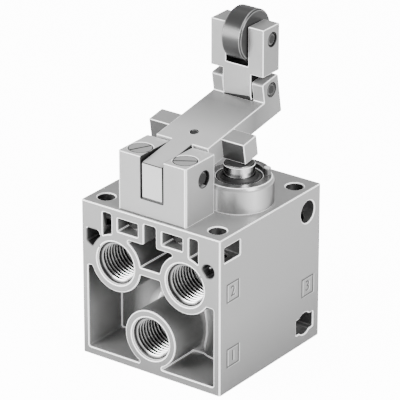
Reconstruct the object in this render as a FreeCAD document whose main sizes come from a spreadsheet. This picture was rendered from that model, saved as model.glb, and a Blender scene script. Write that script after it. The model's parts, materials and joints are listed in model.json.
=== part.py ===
import FreeCAD, Part
import os
import math
import Sketcher

# Roller-lever switching valve with two plungers and an idle-return roller head.
# Frame: origin at the middle of the body's underside, +Z up, the port face towards -Y,
# +X to the right when facing the ports. All lengths in millimetres, angles in degrees.

Vector = FreeCAD.Vector

# Driving dimensions
DIMENSIONS = {
    # Cast body
    "body_width": 50.0,
    "body_depth": 50.7,
    "body_height": 49.6,
    "corner_radius": 0.8,
    "side_wall": 2.3,
    "floor_wall": 2.5,
    "pocket_depth": 16.0,
    # Ports
    "port_spacing": 25.0,
    "port_height": 32.3,
    "supply_height": 11.4,
    "exhaust_height": 18.6,
    "port_radius": 6.58,
    "port_depth": 14.0,
    "port_chamfer": 0.3,
    "boss_wall": 2.45,
    "boss_root": 1.5,
    "gallery_radius": 3.5,
    "web_low": 31.1,
    "web_high": 33.5,
    "foot_web_width": 8.0,
    "pocket_top_left": 29.3,
    "pocket_top_right": 27.5,
    # Weight-saving pockets above the ports
    "slot_from_side": 7.8,
    "slot_width": 3.3,
    "slot_cover": 1.9,
    "core_half_width": 2.2,
    "core_step_below": 8.6,
    "core_step_half": 8.0,
    "corner_pocket_depth": 12.0,
    "corner_pocket_radius": 2.1,
    "corner_pocket_from_side": 4.2,
    "corner_pocket_below": 10.6,
    "corner_pocket_drop": 3.36,
    "corner_pocket_reach": 2.73,
    "corner_pocket_rise": 0.63,
    "pocket_corner": 0.7,
    # Nut pockets under the bracket
    "nut_flats": 7.0,
    "nut_height": 3.2,
    "nut_play": 0.4,
    "nut_pocket_cover": 2.6,
    "nut_pocket_tall": 4.25,
    "nut_pocket_depth": 10.8,
    # Mounting holes
    "top_hole_radius": 2.7,
    "top_hole_spacing_x": 40.0,
    "top_hole_front": 5.75,
    "top_hole_rear": 6.55,
    "top_hole_depth": 12.6,
    "side_slot_front": 2.1,
    "side_slot_back": 9.95,
    "side_slot_cover": 2.9,
    "side_slot_tall": 4.8,
    "side_slot_depth": 9.0,
    "cross_radius": 3.5,
    "cross_high_rear": 6.8,
    "cross_high_below": 6.8,
    "cross_low_rear": 7.8,
    "cross_low_z": 6.7,
    "foot_slot_rear": 3.4,
    "foot_slot_long": 8.7,
    "foot_slot_low": 4.2,
    "foot_slot_high": 9.1,
    "foot_slot_depth": 8.0,
    # Valve cartridges
    "cartridge_spacing": 26.4,
    "cartridge_y": 25.7,
    "cartridge_radius": 7.5,
    "housing_wall": 3.5,
    "seat_web_radius": 6.0,
    "seat_web_height": 3.0,
    "seat_height": 25.0,
    "seat_thickness": 3.0,
    "seat_hole_radius": 3.8,
    "fit_gap": 0.04,
    "cut_margin": 1.0,
    "seal_gap": 0.08,
    "contact_gap": 0.15,
    "collar_radius": 10.25,
    "collar_height": 8.4,
    "collar_chamfer": 0.65,
    "collar_chamfer_height": 1.2,
    "collar_foot_undercut": 0.35,
    "collar_spigot": 10.0,
    "groove_width": 1.8,
    "groove_depth": 1.25,
    "seal_section": 1.2,
    "wiper_seat_radius": 6.9,
    "wiper_seat_depth": 2.2,
    "wiper_radius": 6.55,
    "wiper_lip": 0.9,
    "ring_inner": 7.1,
    "ring_outer": 9.1,
    "ring_height": 1.6,
    "ring_start_angle": 40.0,
    "ring_span_angle": 100.0,
    "ring_lug_radius": 1.15,
    "ring_lug_rise": 0.7,
    "plunger_radius": 4.66,
    "plunger_dome": 12.0,
    "plunger_edge": 0.4,
    "flange_radius": 6.6,
    "flange_height": 2.0,
    "stem_radius": 3.0,
    "poppet_radius": 5.4,
    "poppet_height": 3.5,
    "disc_radius": 5.0,
    "disc_height": 1.2,
    "poppet_stem_radius": 2.0,
    "poppet_stem_length": 14.8,
    "spring_wire": 0.9,
    "plunger_spring_radius": 4.9,
    "poppet_spring_radius": 3.6,
    "plug_recess": 0.4,
    "plug_length": 7.5,
    "plug_socket_radius": 2.6,
    "plug_socket_depth": 1.0,
    "plug_groove_height": 5.2,
    "plug_guide_floor": 2.2,
    # Lever bracket
    "bracket_width": 24.2,
    "bracket_front": 1.2,
    "bracket_back": 15.3,
    "bracket_height": 18.4,
    "bracket_slot": 8.0,
    "bracket_slot_floor": 5.4,
    "bracket_chamfer": 0.4,
    "screw_spacing": 16.0,
    "screw_y": 6.5,
    "screw_radius": 2.0,
    "screw_play": 0.1,
    "screw_head_radius": 3.65,
    "screw_head_height": 2.6,
    "screw_recess": 0.1,
    "screw_tip": 1.2,
    # Lever and its pin
    "pivot_y": 9.9,
    "pivot_rise": 12.4,
    "pivot_radius": 2.5,
    "pivot_recess": 0.6,
    "lever_tilt": 9.5,
    "tail_width": 7.4,
    "tail_front_top": -7.75,
    "tail_front_bottom": -9.5,
    "tail_bottom": -5.2,
    "tail_knee": 2.5,
    "lever_top": 5.65,
    "lever_thickness": 6.65,
    "shoulder": 6.9,
    "lever_width": 18.5,
    "ear_thickness": 3.95,
    "ear_front": 35.3,
    "clevis_front": 34.8,
    "ear_back": 43.1,
    "ear_top": 11.65,
    "ear_radius": 0.8,
    "crossbar_side": 6.4,
    "crossbar_length": 34.0,
    "crossbar_u": 16.8,
    "crossbar_v": 1.95,
    "lock_pin_radius": 1.2,
    "lock_pin_bite": 0.35,
    "lock_pin_recess": 0.3,
    # Roller head
    "head_pin_u": 39.3,
    "head_pin_v": 8.15,
    "head_pin_radius": 2.1,
    "head_pin_recess": 0.2,
    "head_width": 18.8,
    "head_front": 4.6,
    "head_back": 3.5,
    "head_shoulder": 5.2,
    "head_top": 19.9,
    "head_edge": 0.4,
    "side_gap": 0.3,
    "tongue_nose": 1.6,
    "heel_gap": 0.1,
    "heel_high": 2.2,
    "heel_low": 7.5,
    "heel_back": 0.8,
    "tongue_back_low": 4.4,
    "spring_slot": 4.8,
    "roller_slot": 8.0,
    "roller_slot_floor": 7.4,
    "roller_height": 15.8,
    "roller_radius": 7.9,
    "roller_width": 7.0,
    "roller_edge": 0.5,
    "roller_offset": 0.45,
    "bush_radius": 3.3,
    "roller_pin_radius": 2.1,
}

doc = FreeCAD.newDocument("RollerLeverValve")
sheet = doc.addObject("Spreadsheet::Sheet", "Sizes")
for row, (alias, number) in enumerate(DIMENSIONS.items(), start=1):
    sheet.set("A%d" % row, alias)
    sheet.set("B%d" % row, str(number))
    sheet.setAlias("B%d" % row, alias)
doc.recompute()


class Size:
    """A length with its present number and the expression that the document keeps for it."""

    def __init__(self, number, text):
        self.number = number
        self.text = text

    def _join(self, other, mark, number):
        return Size(number, "(%s %s %s)" % (self.text, mark, as_size(other).text))

    def __add__(self, other):
        return self._join(other, "+", self.number + as_size(other).number)

    def __sub__(self, other):
        return self._join(other, "-", self.number - as_size(other).number)

    def __mul__(self, other):
        return self._join(other, "*", self.number * as_size(other).number)

    def __truediv__(self, other):
        return self._join(other, "/", self.number / as_size(other).number)

    def __neg__(self):
        return Size(-self.number, "(0 - %s)" % self.text)

    def __rsub__(self, other):
        return as_size(other) - self

    def __radd__(self, other):
        return as_size(other) + self

    def __rmul__(self, other):
        return as_size(other) * self


def as_size(thing):
    """Give a plain number the form of a Size."""
    if isinstance(thing, Size):
        return thing
    return Size(float(thing), repr(float(thing)))


def dim(alias):
    """Read one driving dimension from the sheet."""
    return Size(float(sheet.get(alias)), "Sizes." + alias)


def sine(angle):
    return Size(math.sin(math.radians(angle.number)), "sin(%s * 1 deg)" % angle.text)


def cosine(angle):
    return Size(math.cos(math.radians(angle.number)), "cos(%s * 1 deg)" % angle.text)


def root(square):
    return Size(math.sqrt(square.number), "sqrt(%s)" % square.text)


def new_body(label):
    body = doc.addObject("PartDesign::Body", label)
    body.Label = label
    return body


def sketch_on(body, role, name, offset=None):
    """Make a sketch on one of the body's own origin planes, moved along its normal."""
    sketch = body.newObject("Sketcher::SketchObject", name)
    plane = next(f for f in body.Origin.OriginFeatures if f.Role == role)
    sketch.AttachmentSupport = [(plane, "")]
    sketch.MapMode = "FlatFace"
    if offset is not None:
        sketch.setExpression("AttachmentOffset.Base.z", offset.text)
    return sketch


def hold_point(sketch, edge, end, point):
    """Tie one point of an edge to its two coordinates."""
    for kind, coordinate in zip(("DistanceX", "DistanceY"), point):
        index = sketch.addConstraint(
            Sketcher.Constraint(kind, -1, 1, edge, end, coordinate.number))
        sketch.setExpression("Constraints[%d]" % index, coordinate.text)


def polygon(sketch, points):
    """Draw a closed outline of straight lines through the points."""
    points = [tuple(as_size(c) for c in point) for point in points]
    first = sketch.GeometryCount
    count = len(points)
    for i in range(count):
        a = points[i]
        b = points[(i + 1) % count]
        sketch.addGeometry(Part.LineSegment(Vector(a[0].number, a[1].number, 0),
                                            Vector(b[0].number, b[1].number, 0)))
    for i in range(count):
        sketch.addConstraint(
            Sketcher.Constraint("Coincident", first + i, 2, first + (i + 1) % count, 1))
        hold_point(sketch, first + i, 1, points[i])


def rectangle(sketch, low, high):
    polygon(sketch, [low, (high[0], low[1]), high, (low[0], high[1])])


def circle(sketch, centre, radius):
    centre = tuple(as_size(c) for c in centre)
    radius = as_size(radius)
    edge = sketch.addGeometry(Part.Circle(Vector(centre[0].number, centre[1].number, 0),
                                          Vector(0, 0, 1), radius.number))
    hold_point(sketch, edge, 3, centre)
    index = sketch.addConstraint(Sketcher.Constraint("Radius", edge, radius.number))
    sketch.setExpression("Constraints[%d]" % index, radius.text)


def volume(body):
    return 0.0 if body.Shape.isNull() else body.Shape.Volume


def extrude(body, kind, sketch, length, both_sides=False, reverse=False):
    """Pad or pocket a sketch and make sure that it changed the body."""
    before = volume(body)
    feature = body.newObject("PartDesign::" + kind, sketch.Name + "_" + kind.lower())
    feature.Profile = (sketch, [""])
    if both_sides:
        feature.SideType = "Symmetric"
    feature.Reversed = reverse
    feature.setExpression("Length", as_size(length).text)
    doc.recompute()
    change = volume(body) - before
    if (change <= 0 and kind == "Pad") or (change >= 0 and kind == "Pocket"):
        raise RuntimeError("%s changed nothing in %s" % (feature.Name, body.Label))
    return feature


def pad(body, sketch, length, **options):
    return extrude(body, "Pad", sketch, length, **options)


def pocket(body, sketch, length, **options):
    return extrude(body, "Pocket", sketch, length, **options)


def turn(body, sketch, angle=None):
    """Revolve a sketch about the upright axis of its plane."""
    feature = body.newObject("PartDesign::Revolution", sketch.Name + "_turned")
    feature.Profile = (sketch, [""])
    feature.ReferenceAxis = (sketch, ["V_Axis"])
    if angle is not None:
        feature.setExpression("Angle", angle.text)
    doc.recompute()
    return feature


def turned_body(label, profile):
    """Make a body that is one outline of (radius, height) points turned about Z."""
    body = new_body(label)
    sketch = sketch_on(body, "XZ_Plane", label + "_outline")
    polygon(sketch, profile)
    turn(body, sketch)
    return body


def ring_body(label, mean_radius, height, section_radius):
    """Make a ring of round section about Z."""
    body = new_body(label)
    sketch = sketch_on(body, "XZ_Plane", label + "_section")
    circle(sketch, (mean_radius, height), section_radius)
    turn(body, sketch)
    return body


def round_edges(body, size, wanted, kind="Fillet"):
    """Fillet or chamfer every edge of the body for which wanted(edge) is true."""
    names = ["Edge%d" % (i + 1) for i, edge in enumerate(body.Shape.Edges) if wanted(edge)]
    if not names:
        raise RuntimeError("no edge to finish in " + body.Label)
    base = body.Tip
    feature = body.newObject("PartDesign::" + kind, "%s_%s" % (body.Label, kind.lower()))
    feature.Base = (base, names)
    feature.setExpression("Radius" if kind == "Fillet" else "Size", size.text)
    doc.recompute()
    return feature


def place(body, x=0, y=0, z=0, tilt=None):
    """Move a body to its place, turned about X by the tilt."""
    if tilt is not None:
        body.Placement = FreeCAD.Placement(Vector(), FreeCAD.Rotation(Vector(1, 0, 0), 1))
        body.setExpression("Placement.Rotation.Angle", tilt.text + " * 1 deg")
    for axis, amount in (("x", x), ("y", y), ("z", z)):
        body.setExpression("Placement.Base." + axis, as_size(amount).text)


def is_upright(edge):
    direction = edge.Vertexes[-1].Point - edge.Vertexes[0].Point
    return len(edge.Vertexes) == 2 and abs(direction.x) < 1e-6 and abs(direction.y) < 1e-6


# Places that several pieces share, in the frame of the whole valve
half_width = dim("body_width") / 2
front_y = -dim("body_depth") / 2
top_z = dim("body_height")
cartridge_x = dim("cartridge_spacing") / 2
cartridge_y = front_y + dim("cartridge_y")
pivot_y = front_y + dim("pivot_y")
pivot_z = top_z + dim("pivot_rise")
tilt = dim("lever_tilt")
screw_x = dim("screw_spacing") / 2
screw_y = front_y + dim("screw_y")
fit_gap = dim("fit_gap")
contact_gap = dim("contact_gap")
cut_margin = dim("cut_margin")
nut_seat_z = top_z - dim("nut_pocket_cover")


def from_front(alias):
    """Turn a distance behind the port face into a Y value."""
    return front_y + dim(alias)


def from_rear(alias):
    """Turn a distance before the rear face into a Y value."""
    return -front_y - dim(alias)


def below_top(alias):
    """Turn a distance below the body's top face into a Z value."""
    return top_z - dim(alias)


# Cast body
def make_body():
    body = new_body("valve_body")
    block = sketch_on(body, "XY_Plane", "block_outline")
    rectangle(block, (-half_width, front_y), (half_width, -front_y))
    pad(body, block, top_z)
    round_edges(body, dim("corner_radius"), is_upright)
    cut_front_pockets(body)
    add_bosses(body)
    cut_valve_bores(body)
    cut_ports(body)
    cut_fastener_holes(body)
    return body


def cut_front_pockets(body):
    front = dim("body_depth") / 2
    inner = half_width - dim("side_wall")
    port_x = dim("port_spacing") / 2
    deep = sketch_on(body, "XZ_Plane", "deep_pockets", front)
    polygon(deep, [
        (-inner, dim("floor_wall")),
        (inner, dim("floor_wall")),
        (inner, dim("pocket_top_right")),
        (port_x, dim("pocket_top_right")),
        (port_x, dim("web_low")),
        (-port_x, dim("web_low")),
        (-port_x, dim("pocket_top_left")),
        (-inner, dim("pocket_top_left")),
    ])
    core = dim("core_half_width")
    step = dim("core_step_half")
    step_z = below_top("core_step_below")
    slot_top = below_top("slot_cover")
    polygon(deep, [
        (-core, slot_top),
        (-core, step_z),
        (-step, step_z),
        (-step, dim("web_high")),
        (step, dim("web_high")),
        (step, step_z),
        (core, step_z),
        (core, slot_top),
    ])
    slot_foot = dim("port_height") + dim("port_radius")
    slot_outer = half_width - dim("slot_from_side")
    slot_inner = slot_outer - dim("slot_width")
    rectangle(deep, (-slot_outer, slot_foot), (-slot_inner, slot_top))
    rectangle(deep, (slot_inner, slot_foot), (slot_outer, slot_top))
    pocket(body, deep, dim("pocket_depth"))
    block_edge = half_width.number - dim("side_wall").number / 2

    def is_pocket_corner(edge):
        points = [vertex.Point for vertex in edge.Vertexes]
        along_y = len(points) == 2 and abs(points[0].y - points[1].y) > dim("pocket_depth").number / 2
        return along_y and abs(edge.CenterOfMass.x) < block_edge and 0 < edge.CenterOfMass.z < top_z.number

    round_edges(body, dim("pocket_corner"), is_pocket_corner)

    corners = sketch_on(body, "XZ_Plane", "corner_pockets", front)
    reach = dim("corner_pocket_radius")
    middle = half_width - dim("corner_pocket_from_side")
    height = below_top("corner_pocket_below")
    polygon(corners, [
        (-middle - reach, height + reach),
        (-middle - reach, height - reach),
        (-middle, height - dim("corner_pocket_drop")),
        (-middle + dim("corner_pocket_reach"), height + dim("corner_pocket_rise")),
        (-middle + reach, height + reach),
    ])
    circle(corners, (middle, height), reach)
    pocket(body, corners, dim("corner_pocket_depth"))


def add_bosses(body):
    boss = dim("port_radius") + dim("boss_wall")
    port_x = dim("port_spacing") / 2
    bosses = sketch_on(body, "XZ_Plane", "port_bosses", dim("body_depth") / 2)
    for side in (-1, 1):
        circle(bosses, (port_x * side, dim("port_height")), boss)
    pad(body, bosses, dim("pocket_depth"), reverse=True)
    supply = sketch_on(body, "XZ_Plane", "supply_boss", dim("body_depth") / 2)
    circle(supply, (0, dim("supply_height")), boss)
    pad(body, supply, dim("pocket_depth"), reverse=True)
    foot = sketch_on(body, "XZ_Plane", "supply_foot", dim("body_depth") / 2)
    half_foot = dim("foot_web_width") / 2
    rectangle(foot, (-half_foot, dim("floor_wall") / 2), (half_foot, dim("supply_height") / 2))
    pad(body, foot, dim("pocket_depth"), reverse=True)
    root_y = (front_y + dim("pocket_depth")).number

    def is_supply_root(edge):
        centre = edge.CenterOfMass
        round_one = isinstance(edge.Curve, Part.Circle) and abs(edge.Curve.Radius - boss.number) < 1e-6
        return round_one and abs(centre.y - root_y) < 1e-6 and centre.z < dim("port_height").number / 2

    round_edges(body, dim("boss_root"), is_supply_root)
    housings = sketch_on(body, "XY_Plane", "cartridge_housings")
    for side in (-1, 1):
        circle(housings, (cartridge_x * side, cartridge_y),
               dim("cartridge_radius") + dim("housing_wall"))
    pad(body, housings, top_z)


def cut_valve_bores(body):
    seat_low = dim("seat_height")
    upper = sketch_on(body, "XY_Plane", "upper_bores", top_z)
    lower = sketch_on(body, "XY_Plane", "lower_bores")
    middle = sketch_on(body, "XY_Plane", "seat_web_bores", seat_low)
    for side in (-1, 1):
        centre = (cartridge_x * side, cartridge_y)
        circle(upper, centre, dim("cartridge_radius"))
        circle(lower, centre, dim("cartridge_radius"))
        circle(middle, centre, dim("seat_web_radius"))
    pocket(body, upper, top_z - seat_low)
    pocket(body, lower, seat_low - dim("seat_web_height"), reverse=True)
    pocket(body, middle, dim("seat_web_height"))


def cut_ports(body):
    half_depth = dim("body_depth") / 2
    port_x = dim("port_spacing") / 2
    front = sketch_on(body, "XZ_Plane", "front_ports", half_depth)
    back = sketch_on(body, "XZ_Plane", "exhaust_ports", -half_depth)
    outlets = sketch_on(body, "XZ_Plane", "outlet_galleries", half_depth)
    for side in (-1, 1):
        circle(front, (port_x * side, dim("port_height")), dim("port_radius"))
        circle(back, (port_x * side, dim("exhaust_height")), dim("port_radius"))
        circle(outlets, (port_x * side, dim("port_height")), dim("gallery_radius"))
    circle(front, (0, dim("supply_height")), dim("port_radius"))
    pocket(body, front, dim("port_depth"))
    pocket(body, back, dim("port_depth"), reverse=True)
    pocket(body, outlets, dim("cartridge_y") - dim("cartridge_radius") / 2)
    supply = sketch_on(body, "XZ_Plane", "supply_gallery", half_depth)
    circle(supply, (0, dim("supply_height")), dim("gallery_radius"))
    pocket(body, supply, dim("cartridge_y"))
    cross = sketch_on(body, "YZ_Plane", "cross_gallery")
    circle(cross, (cartridge_y, dim("supply_height")), dim("gallery_radius"))
    pocket(body, cross, dim("cartridge_spacing"), both_sides=True)

    def is_mouth(edge):
        round_one = isinstance(edge.Curve, Part.Circle)
        on_face = abs(abs(edge.CenterOfMass.y) - half_depth.number) < 1e-6
        return round_one and on_face and abs(edge.Curve.Radius - dim("port_radius").number) < 1e-6

    round_edges(body, dim("port_chamfer"), is_mouth, "Chamfer")


def cut_fastener_holes(body):
    hole_x = dim("top_hole_spacing_x") / 2
    top = sketch_on(body, "XY_Plane", "top_holes", top_z)
    for side in (-1, 1):
        circle(top, (hole_x * side, from_front("top_hole_front")), dim("top_hole_radius"))
        circle(top, (hole_x * side, from_rear("top_hole_rear")), dim("top_hole_radius"))
    pocket(body, top, dim("top_hole_depth"))
    screws = sketch_on(body, "XY_Plane", "bracket_screw_holes", top_z)
    for side in (-1, 1):
        circle(screws, (screw_x * side, screw_y), dim("screw_radius") + dim("screw_play"))
    pocket(body, screws, dim("core_step_below"))
    nuts = sketch_on(body, "XZ_Plane", "nut_pockets", dim("body_depth") / 2)
    half_nut = (dim("nut_flats") + dim("nut_play")) / 2
    for side in (-1, 1):
        rectangle(nuts, (screw_x * side - half_nut, nut_seat_z - dim("nut_pocket_tall")),
                  (screw_x * side + half_nut, nut_seat_z))
    pocket(body, nuts, dim("nut_pocket_depth"))
    for name, side in (("left", -1), ("right", 1)):
        slots = sketch_on(body, "YZ_Plane", name + "_nut_slots", half_width * side)
        slot_top = below_top("side_slot_cover")
        rectangle(slots, (from_front("side_slot_front"), slot_top - dim("side_slot_tall")),
                  (from_front("side_slot_back"), slot_top))
        pocket(body, slots, dim("side_slot_depth"), reverse=side < 0)
        foot = sketch_on(body, "YZ_Plane", name + "_foot_slot", half_width * side)
        foot_back = from_rear("foot_slot_rear")
        rectangle(foot, (foot_back - dim("foot_slot_long"), dim("foot_slot_low")),
                  (foot_back, dim("foot_slot_high")))
        pocket(body, foot, dim("foot_slot_depth"), reverse=side < 0)
    cross = sketch_on(body, "YZ_Plane", "cross_holes")
    circle(cross, (from_rear("cross_high_rear"), below_top("cross_high_below")),
           dim("cross_radius"))
    circle(cross, (from_rear("cross_low_rear"), dim("cross_low_z")), dim("cross_radius"))
    pocket(body, cross, dim("body_width"), both_sides=True)


# Bracket with its screws, nuts and pin
bracket_back_y = from_front("bracket_back")
bracket_front_y = from_front("bracket_front")
bracket_top = top_z + dim("bracket_height")


def make_bracket():
    body = new_body("lever_bracket")
    half = dim("bracket_width") / 2
    block = sketch_on(body, "XY_Plane", "bracket_outline", top_z)
    rectangle(block, (-half, bracket_front_y), (half, bracket_back_y))
    pad(body, block, dim("bracket_height"))
    round_edges(body, dim("bracket_chamfer"), is_upright, "Chamfer")
    slot = sketch_on(body, "XZ_Plane", "bracket_slot_outline")
    half_slot = dim("bracket_slot") / 2
    rectangle(slot, (-half_slot, top_z + dim("bracket_slot_floor")), (half_slot, bracket_top + cut_margin))
    pocket(body, slot, dim("body_depth") * 2, both_sides=True)
    bore = sketch_on(body, "YZ_Plane", "bracket_pin_bore")
    circle(bore, (pivot_y, pivot_z), dim("pivot_radius") + fit_gap / 2)
    pocket(body, bore, dim("bracket_width") * 2, both_sides=True)
    heads = sketch_on(body, "XY_Plane", "screw_head_seats", bracket_top)
    shanks = sketch_on(body, "XY_Plane", "screw_shank_holes", bracket_top)
    for side in (-1, 1):
        circle(heads, (screw_x * side, screw_y), dim("screw_head_radius") + dim("screw_play"))
        circle(shanks, (screw_x * side, screw_y), dim("screw_radius") + dim("screw_play"))
    pocket(body, heads, dim("screw_head_height") + dim("screw_recess"))
    pocket(body, shanks, dim("bracket_height"))
    return body


def make_bracket_screws():
    head_top = bracket_top - dim("screw_recess")
    tip_z = nut_seat_z - dim("nut_height") - dim("screw_tip")
    screws = []
    for side in (-1, 1):
        head = doc.addObject("Part::Cylinder", "screw_head")
        head.setExpression("Radius", dim("screw_head_radius").text)
        head.setExpression("Height", dim("screw_head_height").text)
        place(head, screw_x * side, screw_y, head_top - dim("screw_head_height"))
        shank = doc.addObject("Part::Cylinder", "screw_shank")
        shank.setExpression("Radius", dim("screw_radius").text)
        shank.setExpression("Height", (head_top - dim("screw_head_height") - tip_z).text)
        place(shank, screw_x * side, screw_y, tip_z)
        screw = doc.addObject("Part::MultiFuse", "screw")
        screw.Shapes = [head, shank]
        screws.append(screw)
    group = doc.addObject("Part::Compound", "bracket_screws")
    group.Links = screws
    group.Label = "bracket_screws"
    return group


def make_bracket_nuts():
    nuts = []
    flats_to_sides = FreeCAD.Rotation(Vector(0, 0, 1), 30)
    for side in (-1, 1):
        hexagon = doc.addObject("Part::Prism", "nut_blank")
        hexagon.Polygon = 6
        hexagon.setExpression("Circumradius", (dim("nut_flats") / 3 ** 0.5).text)
        hexagon.setExpression("Height", dim("nut_height").text)
        bore = doc.addObject("Part::Cylinder", "nut_bore")
        bore.setExpression("Radius", (dim("screw_radius") + fit_gap).text)
        bore.setExpression("Height", dim("nut_height").text)
        nut = doc.addObject("Part::Cut", "nut")
        nut.Base = hexagon
        nut.Tool = bore
        nut.Placement = FreeCAD.Placement(Vector(), flats_to_sides)
        place(nut, screw_x * side, screw_y, nut_seat_z - dim("nut_height"))
        nuts.append(nut)
    group = doc.addObject("Part::Compound", "bracket_nuts")
    group.Links = nuts
    group.Label = "bracket_nuts"
    return group


def pin_along_x(label, radius, half_length):
    body = new_body(label)
    sketch = sketch_on(body, "YZ_Plane", label + "_section")
    circle(sketch, (0, 0), radius)
    pad(body, sketch, half_length * 2, both_sides=True)
    return body


def make_lever_pin():
    """The pin has a neck in each cheek, where a bracket screw passes and keeps it in."""
    body = new_body("lever_pin")
    radius = dim("pivot_radius")
    half = dim("bracket_width") / 2 - dim("pivot_recess")
    neck = dim("pivot_y") - dim("screw_y") - dim("screw_radius") - contact_gap
    clear = dim("screw_radius") + contact_gap * 2
    sketch = sketch_on(body, "XY_Plane", "lever_pin_outline")
    points = [(-half, 0), (-half, radius)]
    for side in (-1, 1):
        middle = screw_x * side
        points += [(middle - clear, radius), (middle - clear, neck),
                   (middle + clear, neck), (middle + clear, radius)]
    points += [(half, radius), (half, 0)]
    polygon(sketch, points)
    feature = body.newObject("PartDesign::Revolution", "lever_pin_turned")
    feature.Profile = (sketch, [""])
    feature.ReferenceAxis = (sketch, ["H_Axis"])
    place(body, 0, pivot_y, pivot_z)
    doc.recompute()
    return body


# Lever group, drawn level about its pin and then turned up by the rest tilt
crossbar_half = dim("crossbar_side") / 2
lock_pin_u = (dim("crossbar_u") - crossbar_half - dim("lock_pin_radius")
              + dim("lock_pin_bite"))
underside_v = dim("lever_top") - dim("lever_thickness")


def place_on_lever(body):
    place(body, 0, pivot_y, pivot_z, tilt)
    doc.recompute()


def make_lever():
    body = new_body("lever")
    tail = sketch_on(body, "YZ_Plane", "tail_outline")
    overlap = dim("ear_thickness")
    polygon(tail, [
        (dim("tail_front_top"), dim("lever_top")),
        (dim("tail_front_bottom"), dim("tail_bottom")),
        (dim("tail_knee"), dim("tail_bottom")),
        (dim("shoulder") + overlap / 2, underside_v),
        (dim("shoulder") + overlap, underside_v),
        (dim("shoulder") + overlap, dim("lever_top")),
    ])
    pad(body, tail, dim("tail_width"), both_sides=True)
    plate = sketch_on(body, "YZ_Plane", "plate_outline")
    polygon(plate, [
        (dim("shoulder"), underside_v),
        (dim("ear_back"), underside_v),
        (dim("ear_back"), dim("ear_top")),
        (dim("ear_front"), dim("ear_top")),
        (dim("ear_front"), dim("lever_top")),
        (dim("shoulder"), dim("lever_top")),
    ])
    pad(body, plate, dim("lever_width"), both_sides=True)

    def is_ear_corner(edge):
        across = abs(edge.Vertexes[0].Point.x - edge.Vertexes[-1].Point.x) > 1
        return across and abs(edge.CenterOfMass.z - dim("ear_top").number) < 1e-6

    round_edges(body, dim("ear_radius"), is_ear_corner)
    clevis = sketch_on(body, "XY_Plane", "clevis_outline", dim("ear_top") + cut_margin)
    half_clevis = dim("lever_width") / 2 - dim("ear_thickness")
    rectangle(clevis, (-half_clevis, dim("clevis_front")), (half_clevis, dim("ear_back") + cut_margin))
    pocket(body, clevis, dim("ear_top") + dim("lever_thickness") + cut_margin * 2)
    holes = sketch_on(body, "YZ_Plane", "lever_holes")
    circle(holes, (0, 0), dim("pivot_radius") + fit_gap)
    circle(holes, (dim("head_pin_u"), dim("head_pin_v")), dim("head_pin_radius") + fit_gap / 2)
    slot = crossbar_half + fit_gap / 2
    rectangle(holes, (dim("crossbar_u") - slot, dim("crossbar_v") - crossbar_half - cut_margin),
              (dim("crossbar_u") + slot, dim("crossbar_v") + slot))
    pocket(body, holes, dim("lever_width") * 2, both_sides=True)
    lock = sketch_on(body, "XY_Plane", "lock_pin_hole", dim("lever_top"))
    circle(lock, (0, lock_pin_u), dim("lock_pin_radius") + fit_gap / 2)
    pocket(body, lock, dim("lever_thickness") * 2)
    place_on_lever(body)
    return body


def make_crossbar():
    body = new_body("crossbar")
    section = sketch_on(body, "YZ_Plane", "crossbar_section")
    rectangle(section,
              (dim("crossbar_u") - crossbar_half, dim("crossbar_v") - crossbar_half),
              (dim("crossbar_u") + crossbar_half, dim("crossbar_v") + crossbar_half))
    pad(body, section, dim("crossbar_length"), both_sides=True)
    notch = sketch_on(body, "XY_Plane", "lock_notch", dim("lever_top"))
    circle(notch, (0, lock_pin_u), dim("lock_pin_radius") + fit_gap / 2)
    pocket(body, notch, dim("lever_thickness") * 2)
    place_on_lever(body)
    return body


def make_lock_pin():
    body = new_body("crossbar_lock_pin")
    section = sketch_on(body, "XY_Plane", "lock_pin_section",
                        dim("lever_top") - dim("lock_pin_recess"))
    circle(section, (0, lock_pin_u), dim("lock_pin_radius"))
    pad(body, section, dim("lever_thickness") - dim("lock_pin_recess") * 2, reverse=True)
    place_on_lever(body)
    return body


# Roller head, drawn upright about the head pin
head_y = pivot_y + dim("head_pin_u") * cosine(tilt) - dim("head_pin_v") * sine(tilt)
head_z = pivot_z + dim("head_pin_u") * sine(tilt) + dim("head_pin_v") * cosine(tilt)
roller_y = (dim("head_back") - dim("head_front")) / 2 + dim("roller_offset")
tongue_half = dim("lever_width") / 2 - dim("ear_thickness") - dim("side_gap")
spring_room = dim("head_pin_radius") + dim("spring_wire") + dim("side_gap") * 2


def on_end_face(depth):
    """Give the heel's point that lies before the lever's end face, depth below the head pin."""
    along = dim("clevis_front") + dim("heel_gap") - dim("head_pin_u")
    return (along * cosine(tilt) + depth * sine(tilt),
            along * sine(tilt) - depth * cosine(tilt))


def place_on_head(body, y=0, z=0):
    place(body, 0, head_y + y, head_z + z)
    doc.recompute()


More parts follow.
